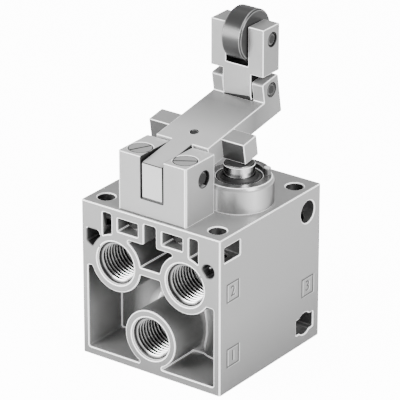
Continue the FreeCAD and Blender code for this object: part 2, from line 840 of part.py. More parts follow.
def make_roller_head():
    body = new_body("roller_head")
    tongue = sketch_on(body, "YZ_Plane", "tongue_outline")
    root_z = dim("head_shoulder") + dim("head_edge") * 2
    polygon(tongue, [
        (-dim("head_front"), root_z),
        (-dim("head_front"), -dim("tongue_nose")),
        on_end_face(dim("heel_high")),
        on_end_face(dim("heel_low")),
        (dim("heel_back"), -dim("heel_low") - dim("head_edge")),
        (dim("head_back"), -dim("tongue_back_low")),
        (dim("head_back"), root_z),
    ])
    pad(body, tongue, tongue_half * 2, both_sides=True)
    fork = sketch_on(body, "YZ_Plane", "fork_outline")
    rectangle(fork, (-dim("head_front"), dim("head_shoulder")), (dim("head_back"), dim("head_top")))
    pad(body, fork, dim("head_width"), both_sides=True)
    slot = sketch_on(body, "XZ_Plane", "roller_slot_outline")
    half_slot = dim("roller_slot") / 2
    rectangle(slot, (-half_slot, dim("roller_slot_floor")), (half_slot, dim("head_top") + cut_margin))
    pocket(body, slot, dim("head_width") * 2, both_sides=True)
    room = sketch_on(body, "YZ_Plane", "spring_room_outline")
    rectangle(room, (-spring_room, -spring_room), (dim("head_back") + cut_margin, spring_room))
    pocket(body, room, dim("spring_slot"), both_sides=True)
    holes = sketch_on(body, "YZ_Plane", "head_holes")
    circle(holes, (0, 0), dim("head_pin_radius") + fit_gap)
    circle(holes, (roller_y, dim("roller_height")), dim("roller_pin_radius") + fit_gap / 2)
    pocket(body, holes, dim("head_width") * 2, both_sides=True)
    place_on_head(body)
    return body


def make_head_spring():
    """Torsion spring: a plain tube that stands for the close coil round the head pin."""
    body = new_body("head_return_spring")
    inner = dim("head_pin_radius") + dim("side_gap")
    half = dim("spring_slot") / 2 - dim("side_gap")
    outer = inner + dim("spring_wire")
    coil = sketch_on(body, "YZ_Plane", "coil_section")
    circle(coil, (0, 0), outer)
    circle(coil, (0, 0), inner)
    pad(body, coil, half * 2, both_sides=True)
    place_on_head(body)
    return body


def make_roller_pieces():
    half = dim("roller_width") / 2
    edge = dim("roller_edge")
    radius = dim("roller_radius")
    bore = dim("bush_radius") + fit_gap / 2
    roller = new_body("roller")
    outline = sketch_on(roller, "XY_Plane", "roller_outline")
    polygon(outline, [(-half, bore), (half, bore), (half, radius - edge), (half - edge, radius),
                      (-half + edge, radius), (-half, radius - edge)])
    bush = new_body("roller_bush")
    sleeve = sketch_on(bush, "XY_Plane", "bush_outline")
    rectangle(sleeve, (-half - 0.2, dim("roller_pin_radius") + fit_gap), (half + 0.2, dim("bush_radius")))
    for body, sketch in ((roller, outline), (bush, sleeve)):
        feature = body.newObject("PartDesign::Revolution", body.Label + "_turned")
        feature.Profile = (sketch, [""])
        feature.ReferenceAxis = (sketch, ["H_Axis"])
        place_on_head(body, roller_y, dim("roller_height"))
    pin_half = dim("head_width") / 2 - dim("head_pin_recess")
    pin = pin_along_x("roller_pin", dim("roller_pin_radius"), pin_half)
    place_on_head(pin, roller_y, dim("roller_height"))
    head_pin = pin_along_x("head_pin", dim("head_pin_radius"),
                           dim("lever_width") / 2 - dim("head_pin_recess"))
    place_on_head(head_pin)
    return [roller, bush, pin, head_pin]


# Valve cartridge: the turned pieces on one axis, from the top down
def plunger_top_z():
    """Height at which a domed plunger just clears the tilted crossbar."""
    arm = cartridge_y - pivot_y
    face = dim("crossbar_v") - crossbar_half
    dome = dim("plunger_dome")
    centre = (face - dome + arm * sine(tilt)) / cosine(tilt)
    return pivot_z + centre + dome - contact_gap


def make_collar(label):
    radius = dim("collar_radius")
    bore = dim("plunger_radius") + fit_gap
    spigot = dim("cartridge_radius") - fit_gap
    high = top_z + dim("collar_height")
    low = top_z - dim("collar_spigot")
    undercut = dim("collar_foot_undercut")
    depth = dim("groove_depth")
    width = dim("groove_width")
    outer_groove = top_z - width * 2
    inner_groove = low + width
    return turned_body(label, [
        (bore, low),
        (spigot, low),
        (spigot, outer_groove - width),
        (spigot - depth, outer_groove - width),
        (spigot - depth, outer_groove),
        (spigot, outer_groove),
        (spigot, top_z),
        (radius - undercut, top_z),
        (radius - undercut, top_z + undercut),
        (radius, top_z + undercut),
        (radius, high - dim("collar_chamfer_height")),
        (radius - dim("collar_chamfer"), high),
        (dim("wiper_seat_radius"), high),
        (dim("wiper_seat_radius"), high - dim("wiper_seat_depth")),
        (bore, high - dim("wiper_seat_depth")),
        (bore, inner_groove + width),
        (bore + depth, inner_groove + width),
        (bore + depth, inner_groove),
        (bore, inner_groove),
    ])


def make_wiper(label):
    seat = top_z + dim("collar_height") - dim("wiper_seat_depth")
    inner = dim("plunger_radius") + dim("seal_gap")
    outer = dim("wiper_radius")
    high = top_z + dim("collar_height") - dim("screw_recess")
    lip = dim("wiper_lip")
    return turned_body(label, [
        (inner, seat),
        (outer, seat),
        (outer, high),
        (outer - lip, high),
        (inner + lip / 2, high + lip),
        (inner, high + lip),
    ])


def make_retaining_ring(label, side):
    """Raised arc behind the plunger, with a lug on its end that lies outwards."""
    body = new_body(label)
    seat = top_z + dim("collar_height")
    inner = dim("ring_inner")
    outer = dim("ring_outer")
    section = sketch_on(body, "XZ_Plane", label + "_section")
    rectangle(section, (inner, seat), (outer, seat + dim("ring_height")))
    turn(body, section, dim("ring_span_angle"))
    ends = sketch_on(body, "XY_Plane", label + "_ends", seat)
    middle = (inner + outer) / 2
    near_end = (middle, as_size(0))
    far_end = (middle * cosine(dim("ring_span_angle")), middle * sine(dim("ring_span_angle")))
    circle(ends, near_end, (outer - inner) / 2)
    circle(ends, far_end, (outer - inner) / 2)
    pad(body, ends, dim("ring_height"))
    lug = sketch_on(body, "XY_Plane", label + "_lug", seat)
    circle(lug, near_end if side > 0 else far_end, dim("ring_lug_radius"))
    pad(body, lug, dim("ring_height") + dim("ring_lug_rise"))
    body.Placement = FreeCAD.Placement(Vector(), FreeCAD.Rotation(Vector(0, 0, 1), 1))
    body.setExpression("Placement.Rotation.Angle", dim("ring_start_angle").text + " * 1 deg")
    return body


stem_foot = dim("seat_height") - contact_gap * 2
flange_top = top_z - dim("collar_spigot") - contact_gap * 2


def make_plunger(label):
    top = plunger_top_z()
    dome = dim("plunger_dome")
    radius = dim("plunger_radius")
    rim = radius - dim("plunger_edge")
    rim_z = top - dome + root(dome * dome - rim * rim)
    body = turned_body(label, [
        (0, stem_foot),
        (dim("stem_radius"), stem_foot),
        (dim("stem_radius"), flange_top - dim("flange_height")),
        (dim("flange_radius"), flange_top - dim("flange_height")),
        (dim("flange_radius"), flange_top),
        (radius, flange_top),
        (radius, rim_z - dim("plunger_edge")),
        (rim, rim_z),
        (0, rim_z),
    ])
    cap = sketch_on(body, "XZ_Plane", label + "_dome")
    centre = top - dome
    start = math.acos(rim.number / dome.number)
    round_line = Part.Circle(Vector(0, centre.number, 0), Vector(0, 0, 1), dome.number)
    arc = cap.addGeometry(Part.ArcOfCircle(round_line, start, math.pi / 2))
    axis = cap.addGeometry(Part.LineSegment(Vector(0, top.number, 0), Vector(0, rim_z.number, 0)))
    flat = cap.addGeometry(Part.LineSegment(Vector(0, rim_z.number, 0),
                                            Vector(rim.number, rim_z.number, 0)))
    for first, second, end in ((arc, axis, 1), (axis, flat, 1), (flat, arc, 1)):
        cap.addConstraint(Sketcher.Constraint("Coincident", first, 2, second, end))
    cap.addConstraint(Sketcher.Constraint("PointOnObject", axis, 1, -2))
    cap.addConstraint(Sketcher.Constraint("PointOnObject", axis, 2, -2))
    cap.addConstraint(Sketcher.Constraint("Horizontal", flat))
    hold_point(cap, arc, 3, (as_size(0), centre))
    for kind, size, held in (("Radius", dome, (arc,)), ("DistanceX", rim, (-1, 1, flat, 2))):
        index = cap.addConstraint(Sketcher.Constraint(kind, *held, size.number))
        cap.setExpression("Constraints[%d]" % index, size.text)
    turn(body, cap)
    return body


def tube(label, inner, outer, low, high):
    return turned_body(label, [(inner, low), (outer, low), (outer, high), (inner, high)])


def make_poppet(label):
    top = stem_foot - dim("disc_height")
    low = top - dim("poppet_height")
    stem_low = low - dim("poppet_stem_length")
    return turned_body(label, [
        (0, stem_low),
        (dim("poppet_stem_radius"), stem_low),
        (dim("poppet_stem_radius"), low),
        (dim("poppet_radius"), low),
        (dim("poppet_radius"), top),
        (0, top),
    ])


def make_plug(label):
    radius = dim("cartridge_radius") - fit_gap
    low = dim("plug_recess")
    high = low + dim("plug_length")
    guide = dim("poppet_stem_radius") + fit_gap
    groove = dim("plug_groove_height")
    body = turned_body(label, [
        (0, low + dim("plug_socket_depth")),
        (dim("plug_socket_radius"), low + dim("plug_socket_depth")),
        (dim("plug_socket_radius"), low),
        (radius, low),
        (radius, groove),
        (radius - dim("groove_depth"), groove),
        (radius - dim("groove_depth"), groove + dim("groove_width")),
        (radius, groove + dim("groove_width")),
        (radius, high),
        (guide, high),
        (guide, dim("plug_guide_floor")),
        (0, dim("plug_guide_floor")),
    ])
    return body


def make_cartridge(name, side):
    seal = dim("seal_section") / 2
    width = dim("groove_width")
    outer_mean = dim("cartridge_radius") - fit_gap - seal
    inner_mean = dim("plunger_radius") + dim("seal_gap") + seal
    seat_low = dim("seat_height")
    seat_high = seat_low + dim("seat_thickness")
    collar_low = top_z - dim("collar_spigot")
    wire = dim("spring_wire")
    plunger_spring = dim("plunger_spring_radius")
    poppet_spring = dim("poppet_spring_radius")
    poppet_low = stem_foot - dim("disc_height") - dim("poppet_height")
    plug_high = dim("plug_recess") + dim("plug_length")
    pieces = [
        make_collar("guide_collar_" + name),
        make_wiper("wiper_ring_" + name),
        make_retaining_ring("retaining_ring_" + name, side),
        make_plunger("plunger_" + name),
        ring_body("collar_seal_" + name, outer_mean, top_z - width * 2.5, seal),
        ring_body("plunger_seal_" + name, inner_mean, collar_low + width * 1.5, seal),
        tube("seat_ring_" + name, dim("seat_hole_radius"), dim("cartridge_radius") - fit_gap,
             seat_low, seat_high),
        tube("plunger_spring_" + name, plunger_spring - wire, plunger_spring,
             seat_high, flange_top - dim("flange_height")),
        tube("poppet_disc_" + name, as_size(0), dim("disc_radius"),
             stem_foot - dim("disc_height"), stem_foot),
        make_poppet("poppet_" + name),
        tube("poppet_spring_" + name, poppet_spring - wire, poppet_spring, plug_high, poppet_low),
        make_plug("end_plug_" + name),
        ring_body("plug_seal_" + name, outer_mean, dim("plug_groove_height") + width / 2, seal),
    ]
    for piece in pieces:
        place(piece, cartridge_x * side, cartridge_y)
    return pieces


parts = [
    make_body(),
    make_bracket(),
    make_bracket_screws(),
    make_bracket_nuts(),
    make_lever_pin(),
    make_lever(),
    make_crossbar(),
    make_lock_pin(),
    make_roller_head(),
    make_head_spring(),
]
parts += make_roller_pieces()
parts += make_cartridge("left", -1)
parts += make_cartridge("right", 1)
doc.recompute()

for item in doc.Objects:
    if "Invalid" in item.State or "Error" in item.State:
        raise RuntimeError("%s did not compute: %s" % (item.Name, item.State))
for part in parts:
    if part.Shape.isNull() or not part.Shape.isValid():
        raise RuntimeError("%s has no valid shape" % part.Label)

os.makedirs("parts", exist_ok=True)
for part in parts:
    part.Shape.exportStep(os.path.join("parts", part.Label + ".step"))
    print("%-24s %9.1f mm3, solids %d" % (part.Label, part.Shape.Volume, len(part.Shape.Solids)))
print("roller centre", (head_y + roller_y).number, (head_z + dim("roller_height")).number)
print("head pin", head_y.number, head_z.number)
print("plunger top", plunger_top_z().number)
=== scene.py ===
import json
import math
import bmesh
import bpy
from mathutils import Matrix, Vector


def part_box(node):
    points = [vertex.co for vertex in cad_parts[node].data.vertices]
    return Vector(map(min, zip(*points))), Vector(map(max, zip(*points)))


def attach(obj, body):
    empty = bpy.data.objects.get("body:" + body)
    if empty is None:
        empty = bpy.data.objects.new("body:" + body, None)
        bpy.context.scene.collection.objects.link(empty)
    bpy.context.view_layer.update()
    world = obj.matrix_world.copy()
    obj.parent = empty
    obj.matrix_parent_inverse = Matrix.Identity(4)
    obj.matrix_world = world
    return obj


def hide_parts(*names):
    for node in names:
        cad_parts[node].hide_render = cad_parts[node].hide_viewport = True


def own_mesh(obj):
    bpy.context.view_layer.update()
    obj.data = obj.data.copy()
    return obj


# Roller-lever switching valve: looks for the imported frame. All lengths in metres.

MM = 0.001

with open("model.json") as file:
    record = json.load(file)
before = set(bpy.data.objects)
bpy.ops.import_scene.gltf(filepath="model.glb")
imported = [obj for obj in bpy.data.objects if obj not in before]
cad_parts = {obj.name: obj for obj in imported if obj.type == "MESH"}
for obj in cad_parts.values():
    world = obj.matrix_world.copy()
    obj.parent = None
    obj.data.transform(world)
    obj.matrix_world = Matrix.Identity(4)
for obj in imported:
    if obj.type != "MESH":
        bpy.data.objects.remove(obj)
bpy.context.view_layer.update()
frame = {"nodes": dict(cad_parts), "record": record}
nodes = frame["nodes"]
record = frame["record"]
MOUNTS = {mount["name"]: mount for mount in record["mounts"]}
SLOT_OF = {part["node"]: part["material_slot"] for part in record["subparts"]}
BODY_LOW, BODY_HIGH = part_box("valve_body")
SIDES = ("left", "right")
CROSS_PINS = ("lever_pin", "head_pin", "roller_pin")

# Widths of the broken edges
EDGE_BREAK = 0.22 * MM
FINE_EDGE = 0.12 * MM
BODY_EDGE = 0.32 * MM
COLLAR_EDGE = 0.18 * MM
RING_ROUNDING = 0.25 * MM
PIN_ROUNDING = 0.8 * MM

# Depth of the front pockets, and the painted highlight on the fillet round the supply boss's root
POCKET_DEPTH = 16.0 * MM
POCKET_FLOOR_Y = BODY_LOW[1] + POCKET_DEPTH
BOSS_ROOT = (0.0, POCKET_FLOOR_Y - 0.4 * MM, MOUNTS["supply_port"]["pos_m"][2])
BOSS_ROOT_RADIUS = 9.9 * MM
BOSS_ROOT_SPREAD = 2.2 * MM


# Shader nodes
def principled(material):
    return material.node_tree.nodes["Principled BSDF"]


def math_node(tree, operation, first, second=0.0):
    """Join two values by one operation; each is a socket or a number."""
    node = tree.nodes.new("ShaderNodeMath")
    node.operation = operation
    for socket, value in zip(node.inputs, (first, second)):
        if isinstance(value, (int, float)):
            socket.default_value = value
        else:
            tree.links.new(value, socket)
    return node.outputs[0]


def noise_node(tree, vector, scale, detail):
    """Make a noise texture; the vector and the scale are sockets."""
    noise = tree.nodes.new("ShaderNodeTexNoise")
    noise.inputs["Detail"].default_value = detail
    tree.links.new(vector, noise.inputs["Vector"])
    tree.links.new(scale, noise.inputs["Scale"])
    return noise.outputs["Fac"]


def new_group(name, inputs, outputs):
    """Start a shader group with the given sockets, and give it with its two end nodes."""
    group = bpy.data.node_groups.new(name, "ShaderNodeTree")
    for label, kind, value in inputs:
        socket = group.interface.new_socket(label, in_out="INPUT", socket_type=kind)
        socket.default_value = value
    for label, kind in outputs:
        group.interface.new_socket(label, in_out="OUTPUT", socket_type=kind)
    start = group.nodes.new("NodeGroupInput")
    end = group.nodes.new("NodeGroupOutput")
    return group, start, end


CLOUD_DETAIL = 3.0
GRAIN_DETAIL = 2.0
GRAIN_SHARE = 0.5


def make_metal_surface():
    """Grain, cloudy tone and uneven polish of a metal face."""
    group, start, end = new_group(
        "Metal surface",
        [("Color", "NodeSocketColor", (0.6, 0.6, 0.6, 1)),
         ("Tone Spread", "NodeSocketFloat", 0.1),
         ("Cloud Scale", "NodeSocketFloat", 60.0),
         ("Grain Scale", "NodeSocketFloat", 4000.0),
         ("Stretch", "NodeSocketVector", (1.0, 1.0, 1.0)),
         ("Roughness", "NodeSocketFloat", 0.4),
         ("Roughness Spread", "NodeSocketFloat", 0.1)],
        [("Color", "NodeSocketColor"), ("Roughness", "NodeSocketFloat"),
         ("Height", "NodeSocketFloat")])
    link = group.links.new
    place = group.nodes.new("ShaderNodeTexCoord").outputs["Object"]
    stretch = group.nodes.new("ShaderNodeVectorMath")
    stretch.operation = "MULTIPLY"
    link(place, stretch.inputs[0])
    link(start.outputs["Stretch"], stretch.inputs[1])
    cloud = noise_node(group, place, start.outputs["Cloud Scale"], CLOUD_DETAIL)
    grain = noise_node(group, stretch.outputs[0], start.outputs["Grain Scale"], GRAIN_DETAIL)
    broad = math_node(group, "SUBTRACT", cloud, 0.5)
    fine = math_node(group, "MULTIPLY", math_node(group, "SUBTRACT", grain, 0.5), GRAIN_SHARE)
    mixed = math_node(group, "ADD", broad, fine)
    spread = math_node(group, "MULTIPLY", mixed, start.outputs["Tone Spread"])
    tinted = group.nodes.new("ShaderNodeVectorMath")
    tinted.operation = "SCALE"
    link(start.outputs["Color"], tinted.inputs[0])
    link(math_node(group, "ADD", spread, 1.0), tinted.inputs["Scale"])
    link(tinted.outputs[0], end.inputs["Color"])
    uneven = math_node(group, "MULTIPLY", mixed, start.outputs["Roughness Spread"])
    link(math_node(group, "ADD", uneven, start.outputs["Roughness"]), end.inputs["Roughness"])
    link(grain, end.inputs["Height"])
    return group


METAL_SURFACE = make_metal_surface()
ROUGHNESS_SPREAD = 0.15
RELIEF = 0.05 * MM


def metal(name, grey, metallic, roughness, grain=3000.0, stretch=(1, 1, 1), bump=0.15,
          spread=0.12, tint=(1.0, 1.0, 1.0), cloud=60.0):
    """Make one metal finish from the shared surface group."""
    material = bpy.data.materials.new(name)
    material.use_nodes = True
    material.diffuse_color = (grey, grey, grey, 1)
    tree = material.node_tree
    shader = principled(material)
    surface = tree.nodes.new("ShaderNodeGroup")
    surface.node_tree = METAL_SURFACE
    surface.inputs["Color"].default_value = [grey * channel for channel in tint] + [1]
    surface.inputs["Tone Spread"].default_value = spread
    surface.inputs["Cloud Scale"].default_value = cloud
    surface.inputs["Grain Scale"].default_value = grain
    surface.inputs["Stretch"].default_value = stretch
    surface.inputs["Roughness"].default_value = roughness
    surface.inputs["Roughness Spread"].default_value = ROUGHNESS_SPREAD
    relief = tree.nodes.new("ShaderNodeBump")
    relief.inputs["Strength"].default_value = bump
    relief.inputs["Distance"].default_value = RELIEF
    tree.links.new(surface.outputs["Height"], relief.inputs["Height"])
    tree.links.new(relief.outputs["Normal"], shader.inputs["Normal"])
    tree.links.new(surface.outputs["Color"], shader.inputs["Base Color"])
    tree.links.new(surface.outputs["Roughness"], shader.inputs["Roughness"])
    shader.inputs["Metallic"].default_value = metallic
    return material


# Tones that vary over a finish, used here to paint light and shade
def ramp(tree, value, stops):
    """Turn a value into a grey by a list of (position, grey) stops."""
    node = tree.nodes.new("ShaderNodeValToRGB")
    colours = node.color_ramp
    while len(colours.elements) < len(stops):
        colours.elements.new(0.5)
    for element, (position, grey) in zip(colours.elements, stops):
        element.position = position
        element.color = (grey, grey, grey, 1)
    tree.links.new(value, node.inputs["Fac"])
    return node.outputs["Color"]


def tone_by(material, value, stops):
    """Multiply a finish's base colour by a ramp of one value."""
    tree = material.node_tree
    base = principled(material).inputs["Base Color"]
    plain = base.links[0].from_socket
    mix = tree.nodes.new("ShaderNodeMix")
    mix.data_type = "RGBA"
    mix.blend_type = "MULTIPLY"
    mix.inputs["Factor"].default_value = 1.0
    first, second = [socket for socket in mix.inputs if socket.type == "RGBA"]
    result = next(socket for socket in mix.outputs if socket.type == "RGBA")
    tree.links.new(plain, first)
    tree.links.new(ramp(tree, value, stops), second)
    tree.links.new(result, base)


def attribute_tone(material, attribute, stops):
    """Tone a finish by an attribute of the mesh that runs from 0 to 1."""
    level = material.node_tree.nodes.new("ShaderNodeAttribute")
    level.attribute_name = attribute
    tone_by(material, level.outputs["Fac"], stops)


def place_tone(material, axis, low, high, stops):
    """Tone a finish by how far along an axis of the object a point lies."""
    tree = material.node_tree
    place = tree.nodes.new("ShaderNodeTexCoord").outputs["Object"]
    split = tree.nodes.new("ShaderNodeSeparateXYZ")
    tree.links.new(place, split.inputs[0])
    share = tree.nodes.new("ShaderNodeMapRange")
    share.inputs["From Min"].default_value = low
    share.inputs["From Max"].default_value = high
    tree.links.new(split.outputs[axis], share.inputs["Value"])
    tone_by(material, share.outputs["Result"], stops)


def ring_tone(material, centre, radius, spread, stops):
    """Tone a finish by the distance from a ring about an axis along Y, from 0 on it to 1."""
    tree = material.node_tree
    place = tree.nodes.new("ShaderNodeTexCoord").outputs["Object"]
    moved = tree.nodes.new("ShaderNodeVectorMath")
    moved.operation = "SUBTRACT"
    moved.inputs[1].default_value = centre
    tree.links.new(place, moved.inputs[0])
    split = tree.nodes.new("ShaderNodeSeparateXYZ")
    tree.links.new(moved.outputs[0], split.inputs[0])
    x, y, z = split.outputs

    def length(first, second):
        squares = [math_node(tree, "MULTIPLY", value, value) for value in (first, second)]
        return math_node(tree, "SQRT", math_node(tree, "ADD", *squares))

    off = math_node(tree, "SUBTRACT", length(x, z), radius)
    tone_by(material, math_node(tree, "DIVIDE", length(off, y), spread), stops)


# Finishes of whole pieces, by material slot
ALONG_X = (0.04, 1.0, 1.0)
ALONG_Y = (1.0, 0.04, 1.0)
ALONG_Z = (1.0, 1.0, 0.04)
ROUND_Z = (0.02, 0.02, 1.0)

FINISH = {
    "cast_body": metal("cast_aluminium", 0.265, 0.3, 0.45, grain=2600, bump=0.2, spread=0.08),
    "bracket": metal("milled_aluminium", 0.36, 0.35, 0.38, grain=5000, stretch=ALONG_Z),
    "lever_metal": metal("milled_lever", 0.31, 0.4, 0.36, grain=5000, stretch=ALONG_Y),
    "bar_steel": metal("ground_bar", 0.3, 0.5, 0.34, grain=5000, stretch=ALONG_X),
    "head_metal": metal("milled_head", 0.29, 0.4, 0.36, grain=5000, stretch=ALONG_Z),
    "fastener": metal("screw_steel", 0.42, 0.6, 0.32, grain=4000),
    "pin_steel": metal("pin_steel", 0.28, 0.8, 0.3, grain=4000),
    "plunger_chrome": metal("polished_chrome", 0.42, 0.9, 0.16, grain=2000, bump=0.02,
                            spread=0.03),
    "collar_steel": metal("turned_collar", 0.48, 0.8, 0.3, grain=5000, stretch=ROUND_Z,
                          bump=0.04, spread=0.05),
    "roller_steel": metal("dark_roller", 0.055, 0.7, 0.3, grain=6000, stretch=ALONG_X),
    "ring_steel": metal("spring_ring", 0.16, 0.8, 0.3, grain=4000),
    "seal_rubber": metal("black_rubber", 0.012, 0.0, 0.5, bump=0.3),
    "valve_brass": metal("turned_brass", 0.6, 0.9, 0.3, tint=(1.0, 0.78, 0.42)),
    "spring_steel": metal("drawn_wire", 0.45, 0.9, 0.3),
}
NUT_STEEL = metal("nut_steel", 0.04, 0.6, 0.4)
# Cut thread, whose roots take painted shade and crests painted highlight
THREAD_METAL = metal("cut_thread", 0.45, 0.8, 0.22, grain=6000, bump=0.05, spread=0.06)

# Painted light and shade on the casting's faces
# The side faces: the cast finish painted lighter, as painted light
BODY_SIDE = metal("painted_light_side", 0.34, 0.3, 0.45, grain=2600, bump=0.2, spread=0.08)
# Painted shade inside the front pockets, with a painted highlight round the supply boss's root
POCKET_SHADE_AND_HIGHLIGHT = metal("pocket_painted_shade_and_highlight", 0.19, 0.3, 0.5, grain=2200, bump=0.3, spread=0.25, cloud=90)
# Painted shade inside the small corner pockets
CORNER_SHADE = metal("painted_shade_in_corner_pockets", 0.03, 0.2, 0.6)
# Painted shade on the walls of the openings in the body's sides
SIDE_POCKET = metal("side_pocket", 0.055, 0.2, 0.5, bump=0.3, spread=0.3, cloud=90)
# Painted shade on the broken edges inside the side openings
CREASE_SHADE = metal("painted_crease_shade", 0.12, 0.2, 0.5)
# Painted shade on the walls of the top screw holes
HOLE_SHADE = metal("painted_hole_shade", 0.05, 0.5, 0.4, grain=4000)
# Painted shade on the raised marks, and a pale line of painted highlight beside them
MARK_SHADE = metal("mark_painted_shade", 0.1, 0.2, 0.45)
MARK_HIGHLIGHT = metal("mark_painted_highlight", 0.62, 0.2, 0.5)

# Finishes of other faces, most of them painted light or shade
# The bracket's top, painted lighter as painted light
BRACKET_PAINTED_LIGHT = metal("painted_light_on_bracket", 0.56, 0.35, 0.38, grain=5000, stretch=ALONG_X)
# The crossbar's front, painted dark as shade
BAR_SHADE = metal("painted_bar_shade", 0.09, 0.6, 0.35, grain=5000, stretch=ALONG_X)
# The crossbar's ends, painted lighter as painted light
BAR_LIGHT = metal("painted_bar_light", 0.36, 0.4, 0.36, grain=5000)
# Painted shade inside bores, slots and between the lever's ears
BORE_SHADE = metal("bore_painted_shade", 0.015, 0.6, 0.35, grain=4000)
# Painted shadow on the lock pin's top and in the screws' slots and rims
SOCKET_SHADE = metal("socket_shadow", 0.01, 0.2, 0.5, bump=0.05)
# Painted shade on edges along gaps and round pin holes
GAP_SHADE = metal("gap_painted_shade", 0.015, 0.0, 0.6)
# The collars' tops, painted darker as shade
COLLAR_SHADE = metal("painted_collar_shade", 0.25, 0.85, 0.3, grain=6000)
# The collars' chamfers, given a grey of their own as painted light
CHAMFER_LIGHT = metal("collar_chamfer", 0.42, 0.6, 0.3, bump=0.03)
# The plunger's top, painted dark as the crossbar's shadow
PLUNGER_TOP_SHADE = metal("plunger_dome", 0.035, 0.2, 0.5, bump=0.02)
WIPER_CASE = metal("wiper_case", 0.13, 0.8, 0.3)
# Painted highlight on the retaining ring's edges
RING_HIGHLIGHT = metal("painted_ring_highlight", 0.5, 0.6, 0.3, bump=0.03)
# Painted highlight on the top of the ring's lug
LUG_HIGHLIGHT = metal("painted_lug_highlight", 0.95, 0.3, 0.3, bump=0.03)
ROLLER_FACE = metal("roller_face", 0.04, 0.3, 0.35, grain=5000)
# Painted highlight on the roller's rims
ROLLER_RIM_HIGHLIGHT = metal("roller_edge", 0.3, 0.4, 0.25, bump=0.05, spread=0.03)

# A pin's end is painted dark and dull as shade, with a glossy rounding that catches the light
PIN_FACE = metal("pin_face", 0.03, 0.1, 0.4, grain=4000)
principled(PIN_FACE).inputs["Specular IOR Level"].default_value = 0.15
PIN_GLINT = metal("pin_glint", 0.06, 0.2, 0.14, bump=0.0)
principled(PIN_GLINT).inputs["Coat Weight"].default_value = 1.0

# Painted highlight lines along the edges, with a slight painted glow of their own
EDGE_HIGHLIGHT = metal("painted_edge_highlight", 1.0, 0.0, 0.28, bump=0.02, spread=0.02)
principled(EDGE_HIGHLIGHT).inputs["Emission Color"].default_value = (1, 1, 1, 1)
principled(EDGE_HIGHLIGHT).inputs["Emission Strength"].default_value = 0.3

# Reaches of the painted light and shade on the casting and along the lever
TONE_TOP = 50 * MM
LEVER_TONE_Y = (-18 * MM, 24 * MM)

# Painted shade: the casting darkens towards its foot, and its pockets at mid height and at both
# sides
for casting in (FINISH["cast_body"], BODY_SIDE):
    place_tone(casting, "Z", 0.0, TONE_TOP, ((0.0, 0.62), (0.45, 0.98), (1.0, 1.06)))
# A painted highlight rings the supply boss's root
ring_tone(POCKET_SHADE_AND_HIGHLIGHT, BOSS_ROOT, BOSS_ROOT_RADIUS, BOSS_ROOT_SPREAD,
          ((0.0, 3.6), (0.35, 2.4), (1.0, 1.0)))
place_tone(POCKET_SHADE_AND_HIGHLIGHT, "Z", 0.0, TONE_TOP,
           ((0.0, 1.4), (0.3, 1.2), (0.46, 0.7), (0.55, 0.38), (0.7, 0.55), (0.8, 1.0)))
place_tone(POCKET_SHADE_AND_HIGHLIGHT, "X", BODY_LOW[0], BODY_HIGH[0],
           ((0.0, 0.35), (0.02, 1.0), (0.88, 1.0), (0.96, 0.3)))
# Painted light and shade along the lever: lighter at its low end, darker near the head
place_tone(FINISH["lever_metal"], "Y", *LEVER_TONE_Y,
           ((0.0, 1.75), (0.35, 1.6), (0.75, 0.68), (1.0, 1.0)))

# Painted reflection bands upright on the turned pieces, and a thread's roots painted with shade and
# its crests with highlight
attribute_tone(FINISH["collar_steel"], "around",
               ((0.0, 0.35), (0.1, 1.35), (0.25, 1.1), (0.42, 0.7), (0.55, 0.95), (0.72, 1.45),
                (0.86, 0.9), (1.0, 0.3)))
attribute_tone(FINISH["plunger_chrome"], "around",
               ((0.0, 0.02), (0.14, 0.25), (0.26, 1.7), (0.4, 0.8), (0.5, 0.5), (0.62, 2.0),
                (0.76, 1.7), (0.87, 0.25), (1.0, 0.02)))
attribute_tone(THREAD_METAL, "thread_height",
               ((0.0, 0.03), (0.45, 0.12), (0.75, 0.9), (1.0, 1.3)))


# Mesh helpers
SMOOTH_ANGLE = math.radians(32)


def new_piece(name, mesh):
    piece = bpy.data.objects.new(name, mesh)
    bpy.context.scene.collection.objects.link(piece)
    return piece


def evaluated_mesh(piece):
    """Give a new mesh of the piece as its modifiers make it."""
    graph = bpy.context.evaluated_depsgraph_get()
    return bpy.data.meshes.new_from_object(piece.evaluated_get(graph))


def mesh_of(form, name, *materials):
    """Turn a finished bmesh into a mesh with its materials."""
    mesh = bpy.data.meshes.new(name)
    form.to_mesh(mesh)
    form.free()
    for material in materials:
        mesh.materials.append(material)
    return mesh


def smooth_round_faces(mesh):
    mesh.shade_smooth()
    mesh.set_sharp_from_angle(angle=SMOOTH_ANGLE)


def register(piece, body, slot, *replaced):
    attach(piece, body)
    if replaced:
        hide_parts(*replaced)


def body_of(node):
    for name, members in record["behaviour"]["bodies"].items():
        if node in members:
            return name
    raise KeyError(node)


def middle_of(node):
    """Give the middle of a node's box."""
    low, high = (Vector(corner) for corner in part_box(node))
    return (low + high) / 2


# Pieces that keep their CAD form, with broken edges
MERGE_DISTANCE = 0.002 * MM
BEVEL_ANGLE = math.radians(34)
EDGE_SLOT = 1
FACING = 0.9


